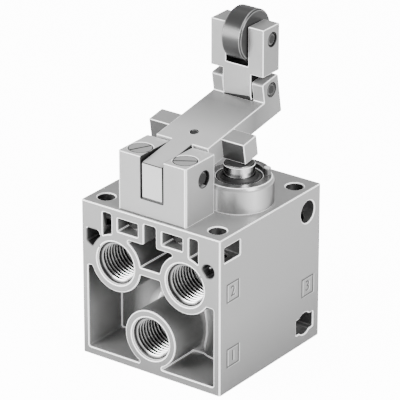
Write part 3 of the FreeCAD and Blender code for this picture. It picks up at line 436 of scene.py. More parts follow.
def dressed(node, width=EDGE_BREAK, edge=None, segments=2, paints=(), edge_paints=()):
    """Stand a merged copy of a CAD node in its place, with its sharp edges broken.

    Each of paints is a material and a test(centre, normal) for the faces that take it;
    edge_paints do the same for the broken edges.
    """
    mesh = nodes[node].data.copy()
    mesh.materials.clear()
    form = bmesh.new()
    form.from_mesh(mesh)
    bmesh.ops.remove_doubles(form, verts=form.verts, dist=MERGE_DISTANCE)
    form.to_mesh(mesh)
    form.free()
    slot = SLOT_OF[node]
    mesh.materials.append(FINISH[slot])
    mesh.materials.append(edge or FINISH[slot])
    for material, test in paints:
        mesh.materials.append(material)
        for face in mesh.polygons:
            if test(face.center, face.normal):
                face.material_index = len(mesh.materials) - 1
    piece = new_piece(node + "_dressed", mesh)
    break_edges(piece, width, segments)
    mesh = piece.data
    refill_outer_faces(mesh, *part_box(node))
    set_normals(mesh)
    for material, test in edge_paints:
        mesh.materials.append(material)
        for face in mesh.polygons:
            if face.material_index == EDGE_SLOT and test(face.center, face.normal):
                face.material_index = len(mesh.materials) - 1
    register(piece, body_of(node), slot, node)
    return piece


def break_edges(piece, width, segments):
    """Round a piece's sharp edges, with the finish of its edge slot."""
    bevel = piece.modifiers.new("edge_break", "BEVEL")
    bevel.width = width
    bevel.segments = segments
    bevel.limit_method = "ANGLE"
    bevel.angle_limit = BEVEL_ANGLE
    bevel.use_clamp_overlap = False
    bevel.loop_slide = False
    bevel.miter_outer = "MITER_ARC"
    bevel.material = EDGE_SLOT
    mesh = evaluated_mesh(piece)
    piece.modifiers.clear()
    piece.data = mesh


def refill_outer_faces(mesh, low, high):
    """Fill the sides of a piece's box anew where the edge break turned slivers over in them."""
    form = bmesh.new()
    form.from_mesh(mesh)
    for axis in range(3):
        for level, outward in ((low[axis], -1), (high[axis], 1)):
            side = [face for face in form.faces if lies_at(face, axis, level)]
            if any(face.normal[axis] * outward <= FACING for face in side):
                refill(form, side, axis, outward)
    form.to_mesh(mesh)
    form.free()


def lies_at(face, axis, level):
    """Say whether all of a face lies at one level of an axis."""
    return all(abs(vertex.co[axis] - level) < MERGE_DISTANCE for vertex in face.verts)


def refill(form, side, axis, outward):
    """Take out a flat side's faces and fill their outline with new ones that face outward."""
    slots = [face.material_index for face in side]
    slot = max(set(slots), key=slots.count)
    old = set(side)
    outline = []
    for edge in form.edges:
        known = [face in old for face in edge.link_faces]
        if any(known) and not all(known):
            outline.append(edge)
    bmesh.ops.delete(form, geom=side, context="FACES")
    normal = [0, 0, 0]
    normal[axis] = outward
    filled = bmesh.ops.triangle_fill(form, use_beauty=True, edges=outline, normal=normal)
    for face in filled["geom"]:
        if isinstance(face, bmesh.types.BMFace):
            face.material_index = slot
            face.normal_update()
            if face.normal[axis] * outward < 0:
                face.normal_flip()


FLAT_ANGLE = math.radians(30)
EDGE_ANGLE = math.radians(50)


def set_normals(mesh):
    """Shade flat faces flat and curved ones smooth, each corner by its like neighbours."""
    mesh.shade_smooth()
    near = [[] for _ in mesh.vertices]
    for face in mesh.polygons:
        for vertex in face.vertices:
            near[vertex].append(face)
    corners = []
    for face in mesh.polygons:
        on_edge = face.material_index == EDGE_SLOT
        limit = math.cos(EDGE_ANGLE if on_edge else FLAT_ANGLE)
        for vertex in face.vertices:
            total = Vector()
            for other in near[vertex]:
                like = on_edge or other.material_index != EDGE_SLOT
                if like and other.normal.dot(face.normal) > limit:
                    total += other.normal * other.area
            corners.append(total.normalized() if total.length > 0 else face.normal)
    mesh.normals_split_custom_set(corners)


# Tests that any piece may use, each of a face's centre and normal
def faces_up(centre, normal):
    return normal.z > FACING


def faces_sideways(centre, normal):
    return abs(normal.x) > FACING


def faces_front(centre, normal):
    return normal.y < -0.6


def faces_slanted(centre, normal):
    return 0.2 < normal.z < FACING


def above(height):
    """Make a test for what lies above a height."""
    def higher(centre, normal):
        return centre.z > height

    return higher


def box_inside(node, margin):
    """Make a test for what lies inside a node's box, away from all its sides."""
    low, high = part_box(node)

    def inside(centre, normal):
        return all(low[axis] + margin < centre[axis] < high[axis] - margin for axis in range(3))

    return inside


# The casting
# Bounds of the painted light and shade on the casting's faces
INNER_MARGIN = 0.35 * MM
BODY_SIDE_X = BODY_HIGH[0] - 0.1 * MM
CORNER_X = BODY_HIGH[0] - 0.9 * MM
CORNER_Y = BODY_HIGH[1] - 0.95 * MM
CORNER_FACING = 0.4
CORNER_POCKET_FLOOR = -12.0 * MM
CORNER_POCKET = ((18.0 * MM, 24.6 * MM), (-25.0 * MM, CORNER_POCKET_FLOOR), (35.0 * MM, 42.0 * MM))
CORNER_MOUTH = (20.8 * MM, 38.4 * MM)
CORNER_MOUTH_REACH = 3.3 * MM
FRONT_POCKET_TOP = 38.0 * MM
SIDE_POCKET_X = 15.0 * MM
OPENING_X = (17.0 * MM, 24.4 * MM)
OPENING_Y = BODY_HIGH[1] - 0.55 * MM
OPENING_TOP = BODY_HIGH[2] - 0.6 * MM
HOLE_RADIUS = MOUNTS["top_holes"]["dims"]["hole_r_mm"] * MM
HOLE_REACH = 1.02
HOLE_FACING = 0.95


def hole_centres(pattern):
    """Give the x and y of the four holes of a bolt pattern."""
    x, y, _ = pattern["pos_m"]
    across = pattern["dims"]["spacing_x_mm"] * MM / 2
    along = pattern["dims"]["spacing_y_mm"] * MM / 2
    return [(x + i * across, y + j * along) for i in (-1, 1) for j in (-1, 1)]


TOP_HOLES = hole_centres(MOUNTS["top_holes"])


def clear_of_front_pockets(centre):
    return centre.y > POCKET_FLOOR_Y + BODY_EDGE or centre.z > FRONT_POCKET_TOP


def in_corner_pocket(centre, normal):
    """Say whether a face is inside the small pocket beside an upper front port."""
    place = (abs(centre.x), centre.y, centre.z)
    return all(low < value < high for value, (low, high) in zip(place, CORNER_POCKET))


def in_side_pocket(centre, normal):
    """Say whether a face is the wall of an opening in the body's side faces."""
    beside = SIDE_POCKET_X < abs(centre.x) < CORNER_X and abs(centre.y) < CORNER_Y
    return beside and clear_of_front_pockets(centre) and BODY_EDGE < centre.z < OPENING_TOP


def in_side_opening(centre, normal):
    """Say whether an edge lies inside a side opening or at the mouth of a corner pocket."""
    off = math.hypot(abs(centre.x) - CORNER_MOUTH[0], centre.z - CORNER_MOUTH[1])
    if off < CORNER_MOUTH_REACH and centre.y < CORNER_POCKET_FLOOR:
        return True
    beside = OPENING_X[0] < abs(centre.x) < OPENING_X[1] and abs(centre.y) < OPENING_Y
    return beside and clear_of_front_pockets(centre) and centre.z < OPENING_TOP


def in_top_hole(centre, normal):
    """Say whether a face is the wall of one of the screw holes in the body's top."""
    if centre.z < FRONT_POCKET_TOP:
        return False
    for x, y in TOP_HOLES:
        out = Vector((centre.x - x, centre.y - y, 0))
        near = out.length < HOLE_RADIUS * HOLE_REACH
        if near and out.dot(normal) < -HOLE_RADIUS * HOLE_FACING:
            return True
    return False


def on_body_side(centre, normal):
    return abs(normal.x) > FACING and abs(centre.x) > BODY_SIDE_X


def on_body_corner(centre, normal):
    """Say whether a face is in the middle of one of the body's rounded upright corners."""
    corner = abs(centre.x) > CORNER_X and abs(centre.y) > CORNER_Y
    return corner and abs(normal.x) > CORNER_FACING and abs(normal.y) > CORNER_FACING


def dress_body():
    # Painted highlight on the edges and rounded upright corners, painted light on the sides, painted
    # shade in pockets, holes and openings
    dressed("valve_body", BODY_EDGE, EDGE_HIGHLIGHT,
            paints=((POCKET_SHADE_AND_HIGHLIGHT, box_inside("valve_body", INNER_MARGIN)),
                    (CORNER_SHADE, in_corner_pocket), (SIDE_POCKET, in_side_pocket),
                    (HOLE_SHADE, in_top_hole), (BODY_SIDE, on_body_side),
                    (EDGE_HIGHLIGHT, on_body_corner)),
            edge_paints=((CREASE_SHADE, in_side_opening),))


# The bracket, the lever and the roller head
# Reaches of the painted shade round pin holes, in the head's slot, beside the lever's tail and
# inside its ears
PIN_HOLE_RIM = 0.4 * MM
HEAD_SLOT_MARGIN = 1.0 * MM
TAIL_SLOT_X = 4.25 * MM
TAIL_END_Y = -13.0 * MM
EAR_INNER_X = 6.0 * MM


def pin_mouth(pin, axis):
    """Give a pin's middle, and from its width along an axis the radius of its hole's edge."""
    low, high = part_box(pin)
    return middle_of(pin), (high[axis] - low[axis]) / 2 + PIN_HOLE_RIM


PIN_MOUTHS = [pin_mouth(pin, 2) for pin in CROSS_PINS]
LOCK_PIN_MIDDLE, LOCK_PIN_REACH = pin_mouth("crossbar_lock_pin", 0)


def round_pins(centre, normal):
    """Say whether an edge is the mouth of a hole that a cross pin stands in."""
    return any((centre - middle).yz.length < reach for middle, reach in PIN_MOUTHS)


def round_lock_pin(centre, normal):
    """Say whether an edge is the upper mouth of the lock pin's hole."""
    off = centre - LOCK_PIN_MIDDLE
    return off.xy.length < LOCK_PIN_REACH and off.z > 0


def beside_tail(centre, normal):
    """Say whether an edge of the bracket runs along its slot for the lever's tail."""
    return abs(centre.x) < TAIL_SLOT_X


def on_tail_side(centre, normal):
    """Say whether an edge of the lever runs along the side of its tail, in the slot."""
    return centre.y < TAIL_END_Y and abs(centre.x) < TAIL_SLOT_X


def in_clevis(centre, normal):
    """Say whether a face of the lever is an inner side of its ears."""
    return faces_sideways(centre, normal) and abs(centre.x) < EAR_INNER_X


def dress_linkage():
    # Edges take painted highlight; bores, the ears' inner sides and edges along gaps and round pins
    # take painted shade; the bracket's top is painted light
    dressed("lever_bracket", EDGE_BREAK, EDGE_HIGHLIGHT,
            paints=((BORE_SHADE, box_inside("lever_bracket", INNER_MARGIN)),
                    (BRACKET_PAINTED_LIGHT, faces_up)),
            edge_paints=((GAP_SHADE, beside_tail), (GAP_SHADE, round_pins)))
    dressed("lever", EDGE_BREAK, EDGE_HIGHLIGHT, paints=((BORE_SHADE, in_clevis),),
            edge_paints=((GAP_SHADE, on_tail_side), (GAP_SHADE, round_pins),
                         (GAP_SHADE, round_lock_pin)))
    dressed("roller_head", EDGE_BREAK, EDGE_HIGHLIGHT,
            paints=((BORE_SHADE, box_inside("roller_head", INNER_MARGIN)),),
            edge_paints=((GAP_SHADE, round_pins),
                         (GAP_SHADE, box_inside("roller_head", HEAD_SLOT_MARGIN))))
    # The bar's front takes painted shade and its ends painted light
    dressed("crossbar", EDGE_BREAK, EDGE_HIGHLIGHT,
            paints=((BAR_SHADE, faces_front), (BAR_LIGHT, faces_sideways)))
    # The lock pin's top and edges take painted shadow
    dressed("crossbar_lock_pin", FINE_EDGE, SOCKET_SHADE, paints=((SOCKET_SHADE, faces_up),))
    # The roller's rims take painted highlight
    dressed("roller", FINE_EDGE, ROLLER_RIM_HIGHLIGHT, segments=3, paints=((ROLLER_FACE, faces_sideways),))
    # Pin ends take painted shade; their glossy rounding catches the light
    for pin in CROSS_PINS:
        dressed(pin, PIN_ROUNDING, PIN_GLINT, segments=4, paints=((PIN_FACE, faces_sideways),))
    dressed("roller_bush", FINE_EDGE)


# The collars, plungers and rings on the body's top
# The side from which the painted reflection bands of the turned pieces are laid out
BAND_SIDE = Vector((0.807, 0.591)).normalized()
WIPER_RIM = 5.75 * MM
WIPER_FACING = 0.3
LUG_RISE = 0.5 * MM


def mark_around(mesh, centre):
    """Store how far each point of a turned piece lies towards the side of its painted reflection
    bands, 0 to 1.
    """
    layer = mesh.attributes.new("around", "FLOAT", "POINT")
    for index, vertex in enumerate(mesh.vertices):
        out = (vertex.co - centre).xy
        if out.length > 0:
            out.normalize()
        layer.data[index].value = 0.5 + 0.5 * out.dot(BAND_SIDE)


def on_wiper_rim(axis):
    """Make a test for the outer rim of the wiper about one plunger."""
    def on_rim(centre, normal):
        return (centre - axis).xy.length > WIPER_RIM and normal.z > WIPER_FACING

    return on_rim


def dress_cartridges():
    for side in SIDES:
        axis = middle_of("plunger_spring_" + side)
        # Collars: painted highlight on the edges, painted light on the chamfer, painted shade on the
        # top
        collar = dressed("guide_collar_" + side, COLLAR_EDGE, EDGE_HIGHLIGHT,
                         paints=((CHAMFER_LIGHT, faces_slanted), (COLLAR_SHADE, faces_up)))
        # Plungers: painted highlight on the edges, painted shade on the top
        plunger = dressed("plunger_" + side, FINE_EDGE, EDGE_HIGHLIGHT,
                          paints=((PLUNGER_TOP_SHADE, faces_up),))
        # Both take the painted reflection bands
        for piece in (collar, plunger):
            mark_around(piece.data, axis)
        dressed("wiper_ring_" + side, FINE_EDGE, paints=((WIPER_CASE, on_wiper_rim(axis)),))
        ring = "retaining_ring_" + side
        lug_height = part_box(ring)[1][2] - LUG_RISE
        # Rings: painted highlight on the edges and on the lug's top
        dressed(ring, RING_ROUNDING, RING_HIGHLIGHT, segments=3,
                paints=((LUG_HIGHLIGHT, above(lug_height)),))


def paint_nodes():
    """Give every CAD node its slot's finish."""
    for node, thing in nodes.items():
        thing.data.materials.clear()
        finish = NUT_STEEL if node == "bracket_nuts" else FINISH[SLOT_OF[node]]
        thing.data.materials.append(finish)


# Geometry-nodes helpers
def new_geometry_tree(name, labels):
    """Start a geometry-nodes group with named sizes and a material, and give its input node."""
    tree = bpy.data.node_groups.new(name, "GeometryNodeTree")
    for label in labels:
        tree.interface.new_socket(label, in_out="INPUT", socket_type="NodeSocketFloat")
    tree.interface.new_socket("Material", in_out="INPUT", socket_type="NodeSocketMaterial")
    tree.interface.new_socket("Geometry", in_out="OUTPUT", socket_type="NodeSocketGeometry")
    return tree, tree.nodes.new("NodeGroupInput")


def end_geometry_tree(tree, start, geometry):
    """Realize the geometry, give it the input's material and hand it out."""
    realize = tree.nodes.new("GeometryNodeRealizeInstances")
    paint = tree.nodes.new("GeometryNodeSetMaterial")
    end = tree.nodes.new("NodeGroupOutput")
    tree.links.new(geometry, realize.inputs["Geometry"])
    tree.links.new(realize.outputs["Geometry"], paint.inputs["Geometry"])
    tree.links.new(start.outputs["Material"], paint.inputs["Material"])
    tree.links.new(paint.outputs["Geometry"], end.inputs["Geometry"])


def set_input(modifier, tree, label, value):
    """Set a geometry-nodes input by its socket's identifier."""
    for item in tree.interface.items_tree:
        if item.item_type == "SOCKET" and item.in_out == "INPUT" and item.name == label:
            modifier[item.identifier] = value
            return
    raise KeyError(label)


def grown_mesh(tree, values):
    """Give the mesh that a geometry-nodes group makes from named values."""
    seed = new_piece("seed", bpy.data.meshes.new("seed"))
    modifier = seed.modifiers.new("grow", "NODES")
    modifier.node_group = tree
    for label, value in values.items():
        set_input(modifier, tree, label, value)
    mesh = evaluated_mesh(seed)
    bpy.data.objects.remove(seed)
    return mesh


def turn_from_z(direction):
    """Give the turn that brings +Z to a direction."""
    return Vector((0, 0, 1)).rotation_difference(direction).to_matrix().to_4x4()


# Threads in the ports
THREAD_PITCH = 1.337 * MM
THREAD_DEPTH = 0.856 * MM
THREAD_TURNS = 9.0
THREAD_START = 0.75 * MM
THREAD_CLEAR = 0.02 * MM
TURN_STEPS = 56
RUNOUT_RATE = 4.0
RUNOUT_FOOT = 0.02
# Points of one thread ridge, as (share of the pitch, share of the depth)
RIDGE = ((-0.5, 0.0), (-0.38, 0.0), (-0.09, 1.0), (0.09, 1.0), (0.38, 0.0), (0.5, 0.0))


def make_thread_tree():
    """One thread ridge wound inside a bore and down -Z, from named sizes."""
    tree, start = new_geometry_tree("Internal thread", ("Bore Radius", "Pitch", "Turns", "Depth"))
    bore_radius, pitch, turn_count, depth = start.outputs[:4]
    add = tree.nodes.new
    link = tree.links.new

    def combine(operation, first, second=0.0):
        return math_node(tree, operation, first, second)

    def by_column(column, values):
        """Pick one of the ridge's values by the column number."""
        total = 0.0
        for number, value in enumerate(values):
            here = combine("COMPARE", column, float(number))
            here.node.inputs[2].default_value = 0.5
            total = combine("ADD", combine("MULTIPLY", here, value), total)
        return total

    columns = len(RIDGE)
    rows = int(THREAD_TURNS * TURN_STEPS) + 1
    shares, heights = zip(*RIDGE)
    grid = add("GeometryNodeMeshGrid")
    grid.inputs["Vertices X"].default_value = rows
    grid.inputs["Vertices Y"].default_value = columns
    index = add("GeometryNodeInputIndex").outputs[0]
    row = combine("FLOOR", combine("DIVIDE", combine("ADD", index, 0.5), float(columns)))
    column = combine("SUBTRACT", index, combine("MULTIPLY", row, float(columns)))
    turns = combine("MULTIPLY", combine("DIVIDE", row, float(rows - 1)), turn_count)
    angle = combine("MULTIPLY", turns, 2 * math.pi)
    runout = combine("ADD", combine("MULTIPLY", turns, RUNOUT_RATE), RUNOUT_FOOT)
    level = combine("MULTIPLY", by_column(column, heights), combine("MINIMUM", runout, 1.0))
    along = combine("ADD", turns, by_column(column, shares))
    bore = combine("SUBTRACT", bore_radius, THREAD_CLEAR)
    radius = combine("SUBTRACT", bore, combine("MULTIPLY", level, depth))
    place = add("ShaderNodeCombineXYZ")
    link(combine("MULTIPLY", radius, combine("COSINE", angle)), place.inputs[0])
    link(combine("MULTIPLY", radius, combine("SINE", angle)), place.inputs[1])
    link(combine("MULTIPLY", combine("MULTIPLY", along, pitch), -1.0), place.inputs[2])
    stored = add("GeometryNodeStoreNamedAttribute")
    stored.data_type = "FLOAT"
    stored.domain = "POINT"
    stored.inputs["Name"].default_value = "thread_height"
    link(grid.outputs["Mesh"], stored.inputs["Geometry"])
    link(level, stored.inputs["Value"])
    moved = add("GeometryNodeSetPosition")
    link(stored.outputs["Geometry"], moved.inputs["Geometry"])
    link(place.outputs[0], moved.inputs["Position"])
    end_geometry_tree(tree, start, moved.outputs["Geometry"])
    return tree


def close_ridge(mesh):
    """Close a thread's back and its two ends, so that it is a solid."""
    form = bmesh.new()
    form.from_mesh(mesh)
    form.verts.ensure_lookup_table()
    columns = len(RIDGE)
    last_row = len(form.verts) - columns
    for foot in range(0, last_row, columns):
        top = foot + columns - 1
        back = (foot, foot + columns, top + columns, top)
        form.faces.new([form.verts[index] for index in back])
    for foot in (0, last_row):
        form.faces.new([form.verts[index] for index in range(foot, foot + columns)])
    bmesh.ops.recalc_face_normals(form, faces=form.faces)
    form.to_mesh(mesh)
    form.free()


def make_threads():
    """One piece with the thread turns of every threaded port."""
    tree = make_thread_tree()
    whole = bmesh.new()
    for mount in record["mounts"]:
        if mount["kind"] != "threaded_hole":
            continue
        mesh = grown_mesh(tree, {"Bore Radius": mount["dims"]["r_mm"] * MM,
                                 "Pitch": THREAD_PITCH, "Turns": THREAD_TURNS,
                                 "Depth": THREAD_DEPTH, "Material": THREAD_METAL})
        close_ridge(mesh)
        outward = Vector(mount["axis"])
        mouth = Vector(mount["pos_m"]) + outward * (mount["dims"]["length_mm"] * MM / 2)
        first_turn = Matrix.Translation(mouth - outward * THREAD_START)
        mesh.transform(first_turn @ turn_from_z(outward))
        whole.from_mesh(mesh)
    mesh = mesh_of(whole, "port_threads", THREAD_METAL)
    piece = new_piece("port_threads", mesh)
    smooth_round_faces(mesh)
    register(piece, "housing", "cast_body")


# Coil springs, in place of the plain tubes that stand for them in the CAD
SPRING_WIRE = 0.9 * MM
SPRING_END_GAP = 0.02 * MM
COIL_STEPS = 24
WIRE_STEPS = 10
VALVE_SPRING_TURNS = {"plunger_spring_": 4.5, "poppet_spring_": 5.5}


def make_coil_tree():
    """A round wire wound about +Z from z = 0, from named sizes."""
    tree, start = new_geometry_tree("Coil spring", ("Radius", "Height", "Turns", "Wire Radius"))
    link = tree.links.new
    spiral = tree.nodes.new("GeometryNodeCurveSpiral")
    spiral.inputs["Resolution"].default_value = COIL_STEPS
    link(start.outputs["Turns"], spiral.inputs["Rotations"])
    link(start.outputs["Radius"], spiral.inputs["Start Radius"])
    link(start.outputs["Radius"], spiral.inputs["End Radius"])
    link(start.outputs["Height"], spiral.inputs["Height"])
    wire = tree.nodes.new("GeometryNodeCurvePrimitiveCircle")
    wire.inputs["Resolution"].default_value = WIRE_STEPS
    link(start.outputs["Wire Radius"], wire.inputs["Radius"])
    sweep = tree.nodes.new("GeometryNodeCurveToMesh")
    sweep.inputs["Fill Caps"].default_value = True
    link(spiral.outputs["Curve"], sweep.inputs["Curve"])
    link(wire.outputs["Curve"], sweep.inputs["Profile Curve"])
    end_geometry_tree(tree, start, sweep.outputs["Mesh"])
    return tree


def make_spring(tree, node, axis, turns=None):
    """Wind a spring in a node's box along an axis, close-wound where no turns are given."""
    low, high = (Vector(corner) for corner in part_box(node))
    size = high - low
    height = size[axis] - SPRING_WIRE - 2 * SPRING_END_GAP
    mesh = grown_mesh(tree, {"Radius": size[1] / 2 - SPRING_WIRE / 2, "Height": height,
                             "Turns": turns or height / SPRING_WIRE,
                             "Wire Radius": SPRING_WIRE / 2,
                             "Material": FINISH["spring_steel"]})
    direction = Vector()
    direction[axis] = 1
    first_turn = Matrix.Translation(middle_of(node) - direction * (height / 2))
    mesh.transform(first_turn @ turn_from_z(direction))
    mesh.shade_smooth()
    piece = new_piece(node + "_coil", mesh)
    register(piece, body_of(node), "spring_steel", node)
    return piece


def make_springs():
    """The return spring on the head pin, and the valve springs, each valve spring with a mesh of its
    own.
    """
    tree = make_coil_tree()
    make_spring(tree, "head_return_spring", 0)
    for side in SIDES:
        for kind, turns in VALVE_SPRING_TURNS.items():
            piece = make_spring(tree, kind + side, 2, turns)
            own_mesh(piece)


# Slotted screws in the bracket
SLOT_WIDTH = 0.55 * MM
SLOT_DEPTH = 0.9 * MM
SLOT_TURNS = {"left": 63.0, "right": 33.0}
SCREW_HEAD_HEIGHT = 2.6 * MM
SCREW_SHANK_RADIUS = 2.0 * MM
SCREW_RIM = 0.24 * MM
SCREW_STEPS = 56
RIM_LIFT = 0.01 * MM


def arc(radius, start, end, steps):
    """Give the points of an arc about Z, both its ends among them."""
    points = []
    for step in range(steps + 1):
        angle = start + (end - start) * step / steps
        points.append(Vector((radius * math.cos(angle), radius * math.sin(angle), 0)))
    return points


def circle(radius):
    return arc(radius, 0, 2 * math.pi, SCREW_STEPS)[:-1]


def add_strip(form, first, second):
    """Add the faces between two closed rings of equally many points, and give them."""
    faces = []
    for i in range(len(first)):
        j = (i + 1) % len(first)
        faces.append(form.faces.new((first[i], first[j], second[j], second[i])))
    return faces


def add_points(form, points, place):
    return [form.verts.new(place @ point) for point in points]


def add_prism(form, outline, low, high, place):
    """Add an upright prism over a flat outline."""
    foot, top = (add_points(form, outline, place @ Matrix.Translation((0, 0, z)))
                 for z in (low, high))
    form.faces.new(foot)
    form.faces.new(top)
    add_strip(form, foot, top)


def add_ring(form, outer, inner, low, high, place):
    """Add a ring of four flat sides between two outlines, and give its faces."""
    rings = []
    for outline, z in ((outer, low), (outer, high), (inner, high), (inner, low)):
        rings.append(add_points(form, outline, place @ Matrix.Translation((0, 0, z))))
    faces = []
    for ring, following in zip(rings, rings[1:] + rings[:1]):
        faces += add_strip(form, ring, following)
    return faces


def add_screw(form, place, radius, low, high):
    """Add a screw: two half heads beside the slot, the head below them and the shank."""
    slot_floor = high - SLOT_DEPTH
    head_foot = high - SCREW_HEAD_HEIGHT
    reach = math.asin(SLOT_WIDTH / 2 / radius)
    for half in (-1, 1):
        outline = arc(radius, half * reach, half * (math.pi - reach), SCREW_STEPS // 2)
        add_prism(form, outline, slot_floor, high, place)
    add_prism(form, circle(radius), head_foot, slot_floor, place)
    add_prism(form, circle(SCREW_SHANK_RADIUS), low, head_foot, place)


def add_rim(form, place, radius, height):
    """Add a line of painted shade round a screw's head."""
    outer = circle(radius)
    inner = circle(radius - SCREW_RIM)
    for face in add_ring(form, outer, inner, height - RIM_LIFT, height + RIM_LIFT, place):
        face.material_index = 1


def make_screws():
    """Two flush screws, each with its slot and a line round its head painted with shade."""
    low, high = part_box("bracket_screws")
    radius = (high[1] - low[1]) / 2
    middle_y = (low[1] + high[1]) / 2
    whole = bmesh.new()
    for side, sign in zip(SIDES, (-1, 1)):
        place = Matrix.Translation((sign * (high[0] - radius), middle_y, 0))
        turn = Matrix.Rotation(math.radians(SLOT_TURNS[side]), 4, "Z")
        add_screw(whole, place @ turn, radius, low[2], high[2])
        add_rim(whole, place, radius, high[2])
    bmesh.ops.recalc_face_normals(whole, faces=whole.faces)
    # The slot's walls and floor take painted shade
    for face in whole.faces:
        depth = high[2] - face.calc_center_median().z
        if RIM_LIFT < depth < SLOT_DEPTH + RIM_LIFT:
            face.material_index = 1
    mesh = mesh_of(whole, "bracket_screws_slotted", FINISH["fastener"], SOCKET_SHADE)
    piece = new_piece("bracket_screws_slotted", mesh)
    smooth_round_faces(mesh)
    register(piece, "housing", "fastener", "bracket_screws")


# Port numbers in square frames on the body's right side
FRAME_SIDE = 6.0 * MM
FRAME_LINE = 0.4 * MM
MARK_SIZE = 4.7 * MM
MARK_THINNING = 0.02 * MM
MARK_RISE = 0.1 * MM
LINE_RISE = 0.03 * MM
LINE_SHIFT = Vector((0.5 * MM, -0.2 * MM, 0))
# Each mark's digit, its distance from the body's front and its height
MARKS = (
    ("2", 6.3 * MM, 31.7 * MM),
    ("1", 6.4 * MM, 11.0 * MM),
    ("3", 44.2 * MM, 18.6 * MM),
)
# Stands a flat mark up on the side: its x goes to +Y, its y to +Z and its z to +X
UPRIGHT = Matrix(((0, 0, 1, 0), (1, 0, 0, 0), (0, 1, 0, 0), (0, 0, 0, 1)))


def digit_mesh(digit, rise):
    """Make one plain digit as a mesh, as far above z = 0 as below it."""
    text = bpy.data.curves.new("digit", "FONT")
    text.body = digit
    text.size = MARK_SIZE
    text.align_x = "CENTER"
    text.align_y = "CENTER"
    text.extrude = rise
    text.offset = -MARK_THINNING
    holder = new_piece("digit", text)
    mesh = evaluated_mesh(holder)
    bpy.data.objects.remove(holder)
    return mesh


def square(side):
    return [Vector((x * side / 2, y * side / 2, 0)) for x, y in ((-1, -1), (1, -1), (1, 1), (-1, 1))]


def make_marks():
    """Raised numbers in square frames, painted dark as their shade, each with a pale line of painted
    highlight beside its foot.
    """
    whole = bmesh.new()
    outer = square(FRAME_SIDE)
    inner = square(FRAME_SIDE - 2 * FRAME_LINE)
    for digit, from_front, height in MARKS:
        upright = Matrix.Translation((BODY_HIGH[0], BODY_LOW[1] + from_front, height)) @ UPRIGHT
        # The proud copy takes painted shade; the low shifted copy is its painted highlight
        for rise, shift, paint in ((MARK_RISE, Vector(), 0), (LINE_RISE, LINE_SHIFT, 1)):
            place = upright @ Matrix.Translation(shift)
            first = len(whole.faces)
            mesh = digit_mesh(digit, rise)
            mesh.transform(place)
            whole.from_mesh(mesh)
            add_ring(whole, outer, inner, -rise, rise, place)
            whole.faces.ensure_lookup_table()
            for face in whole.faces[first:]:
                face.material_index = paint
    bmesh.ops.recalc_face_normals(whole, faces=whole.faces)
    mesh = mesh_of(whole, "port_numbers", MARK_SHADE, MARK_HIGHLIGHT)
    register(new_piece("port_numbers", mesh), "housing", "cast_body")


# Floor, light and camera
FLOOR_REACH = 4.0
FLOOR_DROP = 0.05 * MM
FLOOR_GREY = 0.95
FLOOR_ROUGHNESS = 0.8
FLOOR_GLOW = 12.0
WORLD_GLOW = 0.7
# Each light's place, width, height, power and the point it faces
LIGHTS = {
    "front_key": ((-0.45, -0.75, 0.22), 0.5, 0.5, 18.0, (0, 0, 0.045)),
    "right_fill": ((0.55, -0.1, 0.38), 0.3, 0.5, 5.0, (0, 0, 0.06)),
    "top_soft": ((-0.1, 0.25, 0.9), 0.6, 0.6, 3.0, (0, 0, 0.045)),
}

VIEW_AZIMUTH = math.radians(36.23)
VIEW_ELEVATION = math.radians(24.28)
VIEW_DISTANCE = 973.44 * MM
VIEW_LENS = 299.8
VIEW_SENSOR = 36.0
VIEW_CLIP_END = 20.0
VIEW_CENTRE_HEIGHT = 50.0 * MM
VIEW_SIDEWAYS = -0.49 * MM
VIEW_UPWARDS = -3.02 * MM


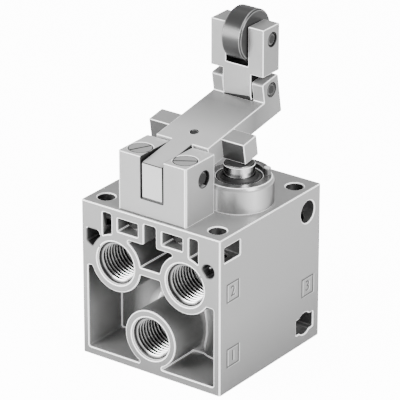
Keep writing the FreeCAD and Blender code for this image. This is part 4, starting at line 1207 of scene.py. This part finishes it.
def make_floor():
    """A pale floor that glows for the camera only, so it gives no light from below."""
    mesh = bpy.data.meshes.new("floor")
    corners = [point + Vector((0, 0, -FLOOR_DROP)) for point in square(2 * FLOOR_REACH)]
    mesh.from_pydata(corners, [], [(0, 1, 2, 3)])
    paper = bpy.data.materials.new("pale_floor")
    paper.use_nodes = True
    tree = paper.node_tree
    shader = principled(paper)
    shader.inputs["Base Color"].default_value = (FLOOR_GREY, FLOOR_GREY, FLOOR_GREY, 1)
    shader.inputs["Roughness"].default_value = FLOOR_ROUGHNESS
    shader.inputs["Emission Color"].default_value = (1, 1, 1, 1)
    seen = tree.nodes.new("ShaderNodeLightPath").outputs["Is Camera Ray"]
    glow = math_node(tree, "MULTIPLY", seen, FLOOR_GLOW)
    tree.links.new(glow, shader.inputs["Emission Strength"])
    mesh.materials.append(paper)
    floor = new_piece("floor", mesh)


def make_world():
    world = bpy.data.worlds.new("studio")
    world.use_nodes = True
    background = world.node_tree.nodes["Background"]
    background.inputs["Color"].default_value = (1, 1, 1, 1)
    background.inputs["Strength"].default_value = WORLD_GLOW
    bpy.context.scene.world = world


def make_lights():
    for name, (place, width, height, power, aim) in LIGHTS.items():
        data = bpy.data.lights.new(name, "AREA")
        data.shape = "RECTANGLE"
        data.size = width
        data.size_y = height
        data.energy = power
        light = bpy.data.objects.new(name, data)
        light.location = place
        towards = Vector(aim) - Vector(place)
        light.rotation_euler = towards.to_track_quat("-Z", "Y").to_euler()
        bpy.context.scene.collection.objects.link(light)


def make_camera():
    """A long lens at the photo's view of the object, without roll."""
    back = Vector((math.sin(VIEW_AZIMUTH) * math.cos(VIEW_ELEVATION),
                   -math.cos(VIEW_AZIMUTH) * math.cos(VIEW_ELEVATION),
                   math.sin(VIEW_ELEVATION)))
    right = Vector((math.cos(VIEW_AZIMUTH), math.sin(VIEW_AZIMUTH), 0))
    up = back.cross(right)
    target = Vector((0, 0, VIEW_CENTRE_HEIGHT)) + right * VIEW_SIDEWAYS + up * VIEW_UPWARDS
    data = bpy.data.cameras.new("camera")
    data.lens = VIEW_LENS
    data.sensor_width = VIEW_SENSOR
    data.clip_end = VIEW_CLIP_END
    camera = bpy.data.objects.new("camera", data)
    bpy.context.scene.collection.objects.link(camera)
    turn = Matrix((right, up, back)).transposed().to_4x4()
    camera.matrix_world = Matrix.Translation(target + back * VIEW_DISTANCE) @ turn
    bpy.context.scene.camera = camera


dress_body()
dress_linkage()
dress_cartridges()
paint_nodes()
make_threads()
make_springs()
make_screws()
make_marks()
make_floor()
make_world()
make_lights()
make_camera()
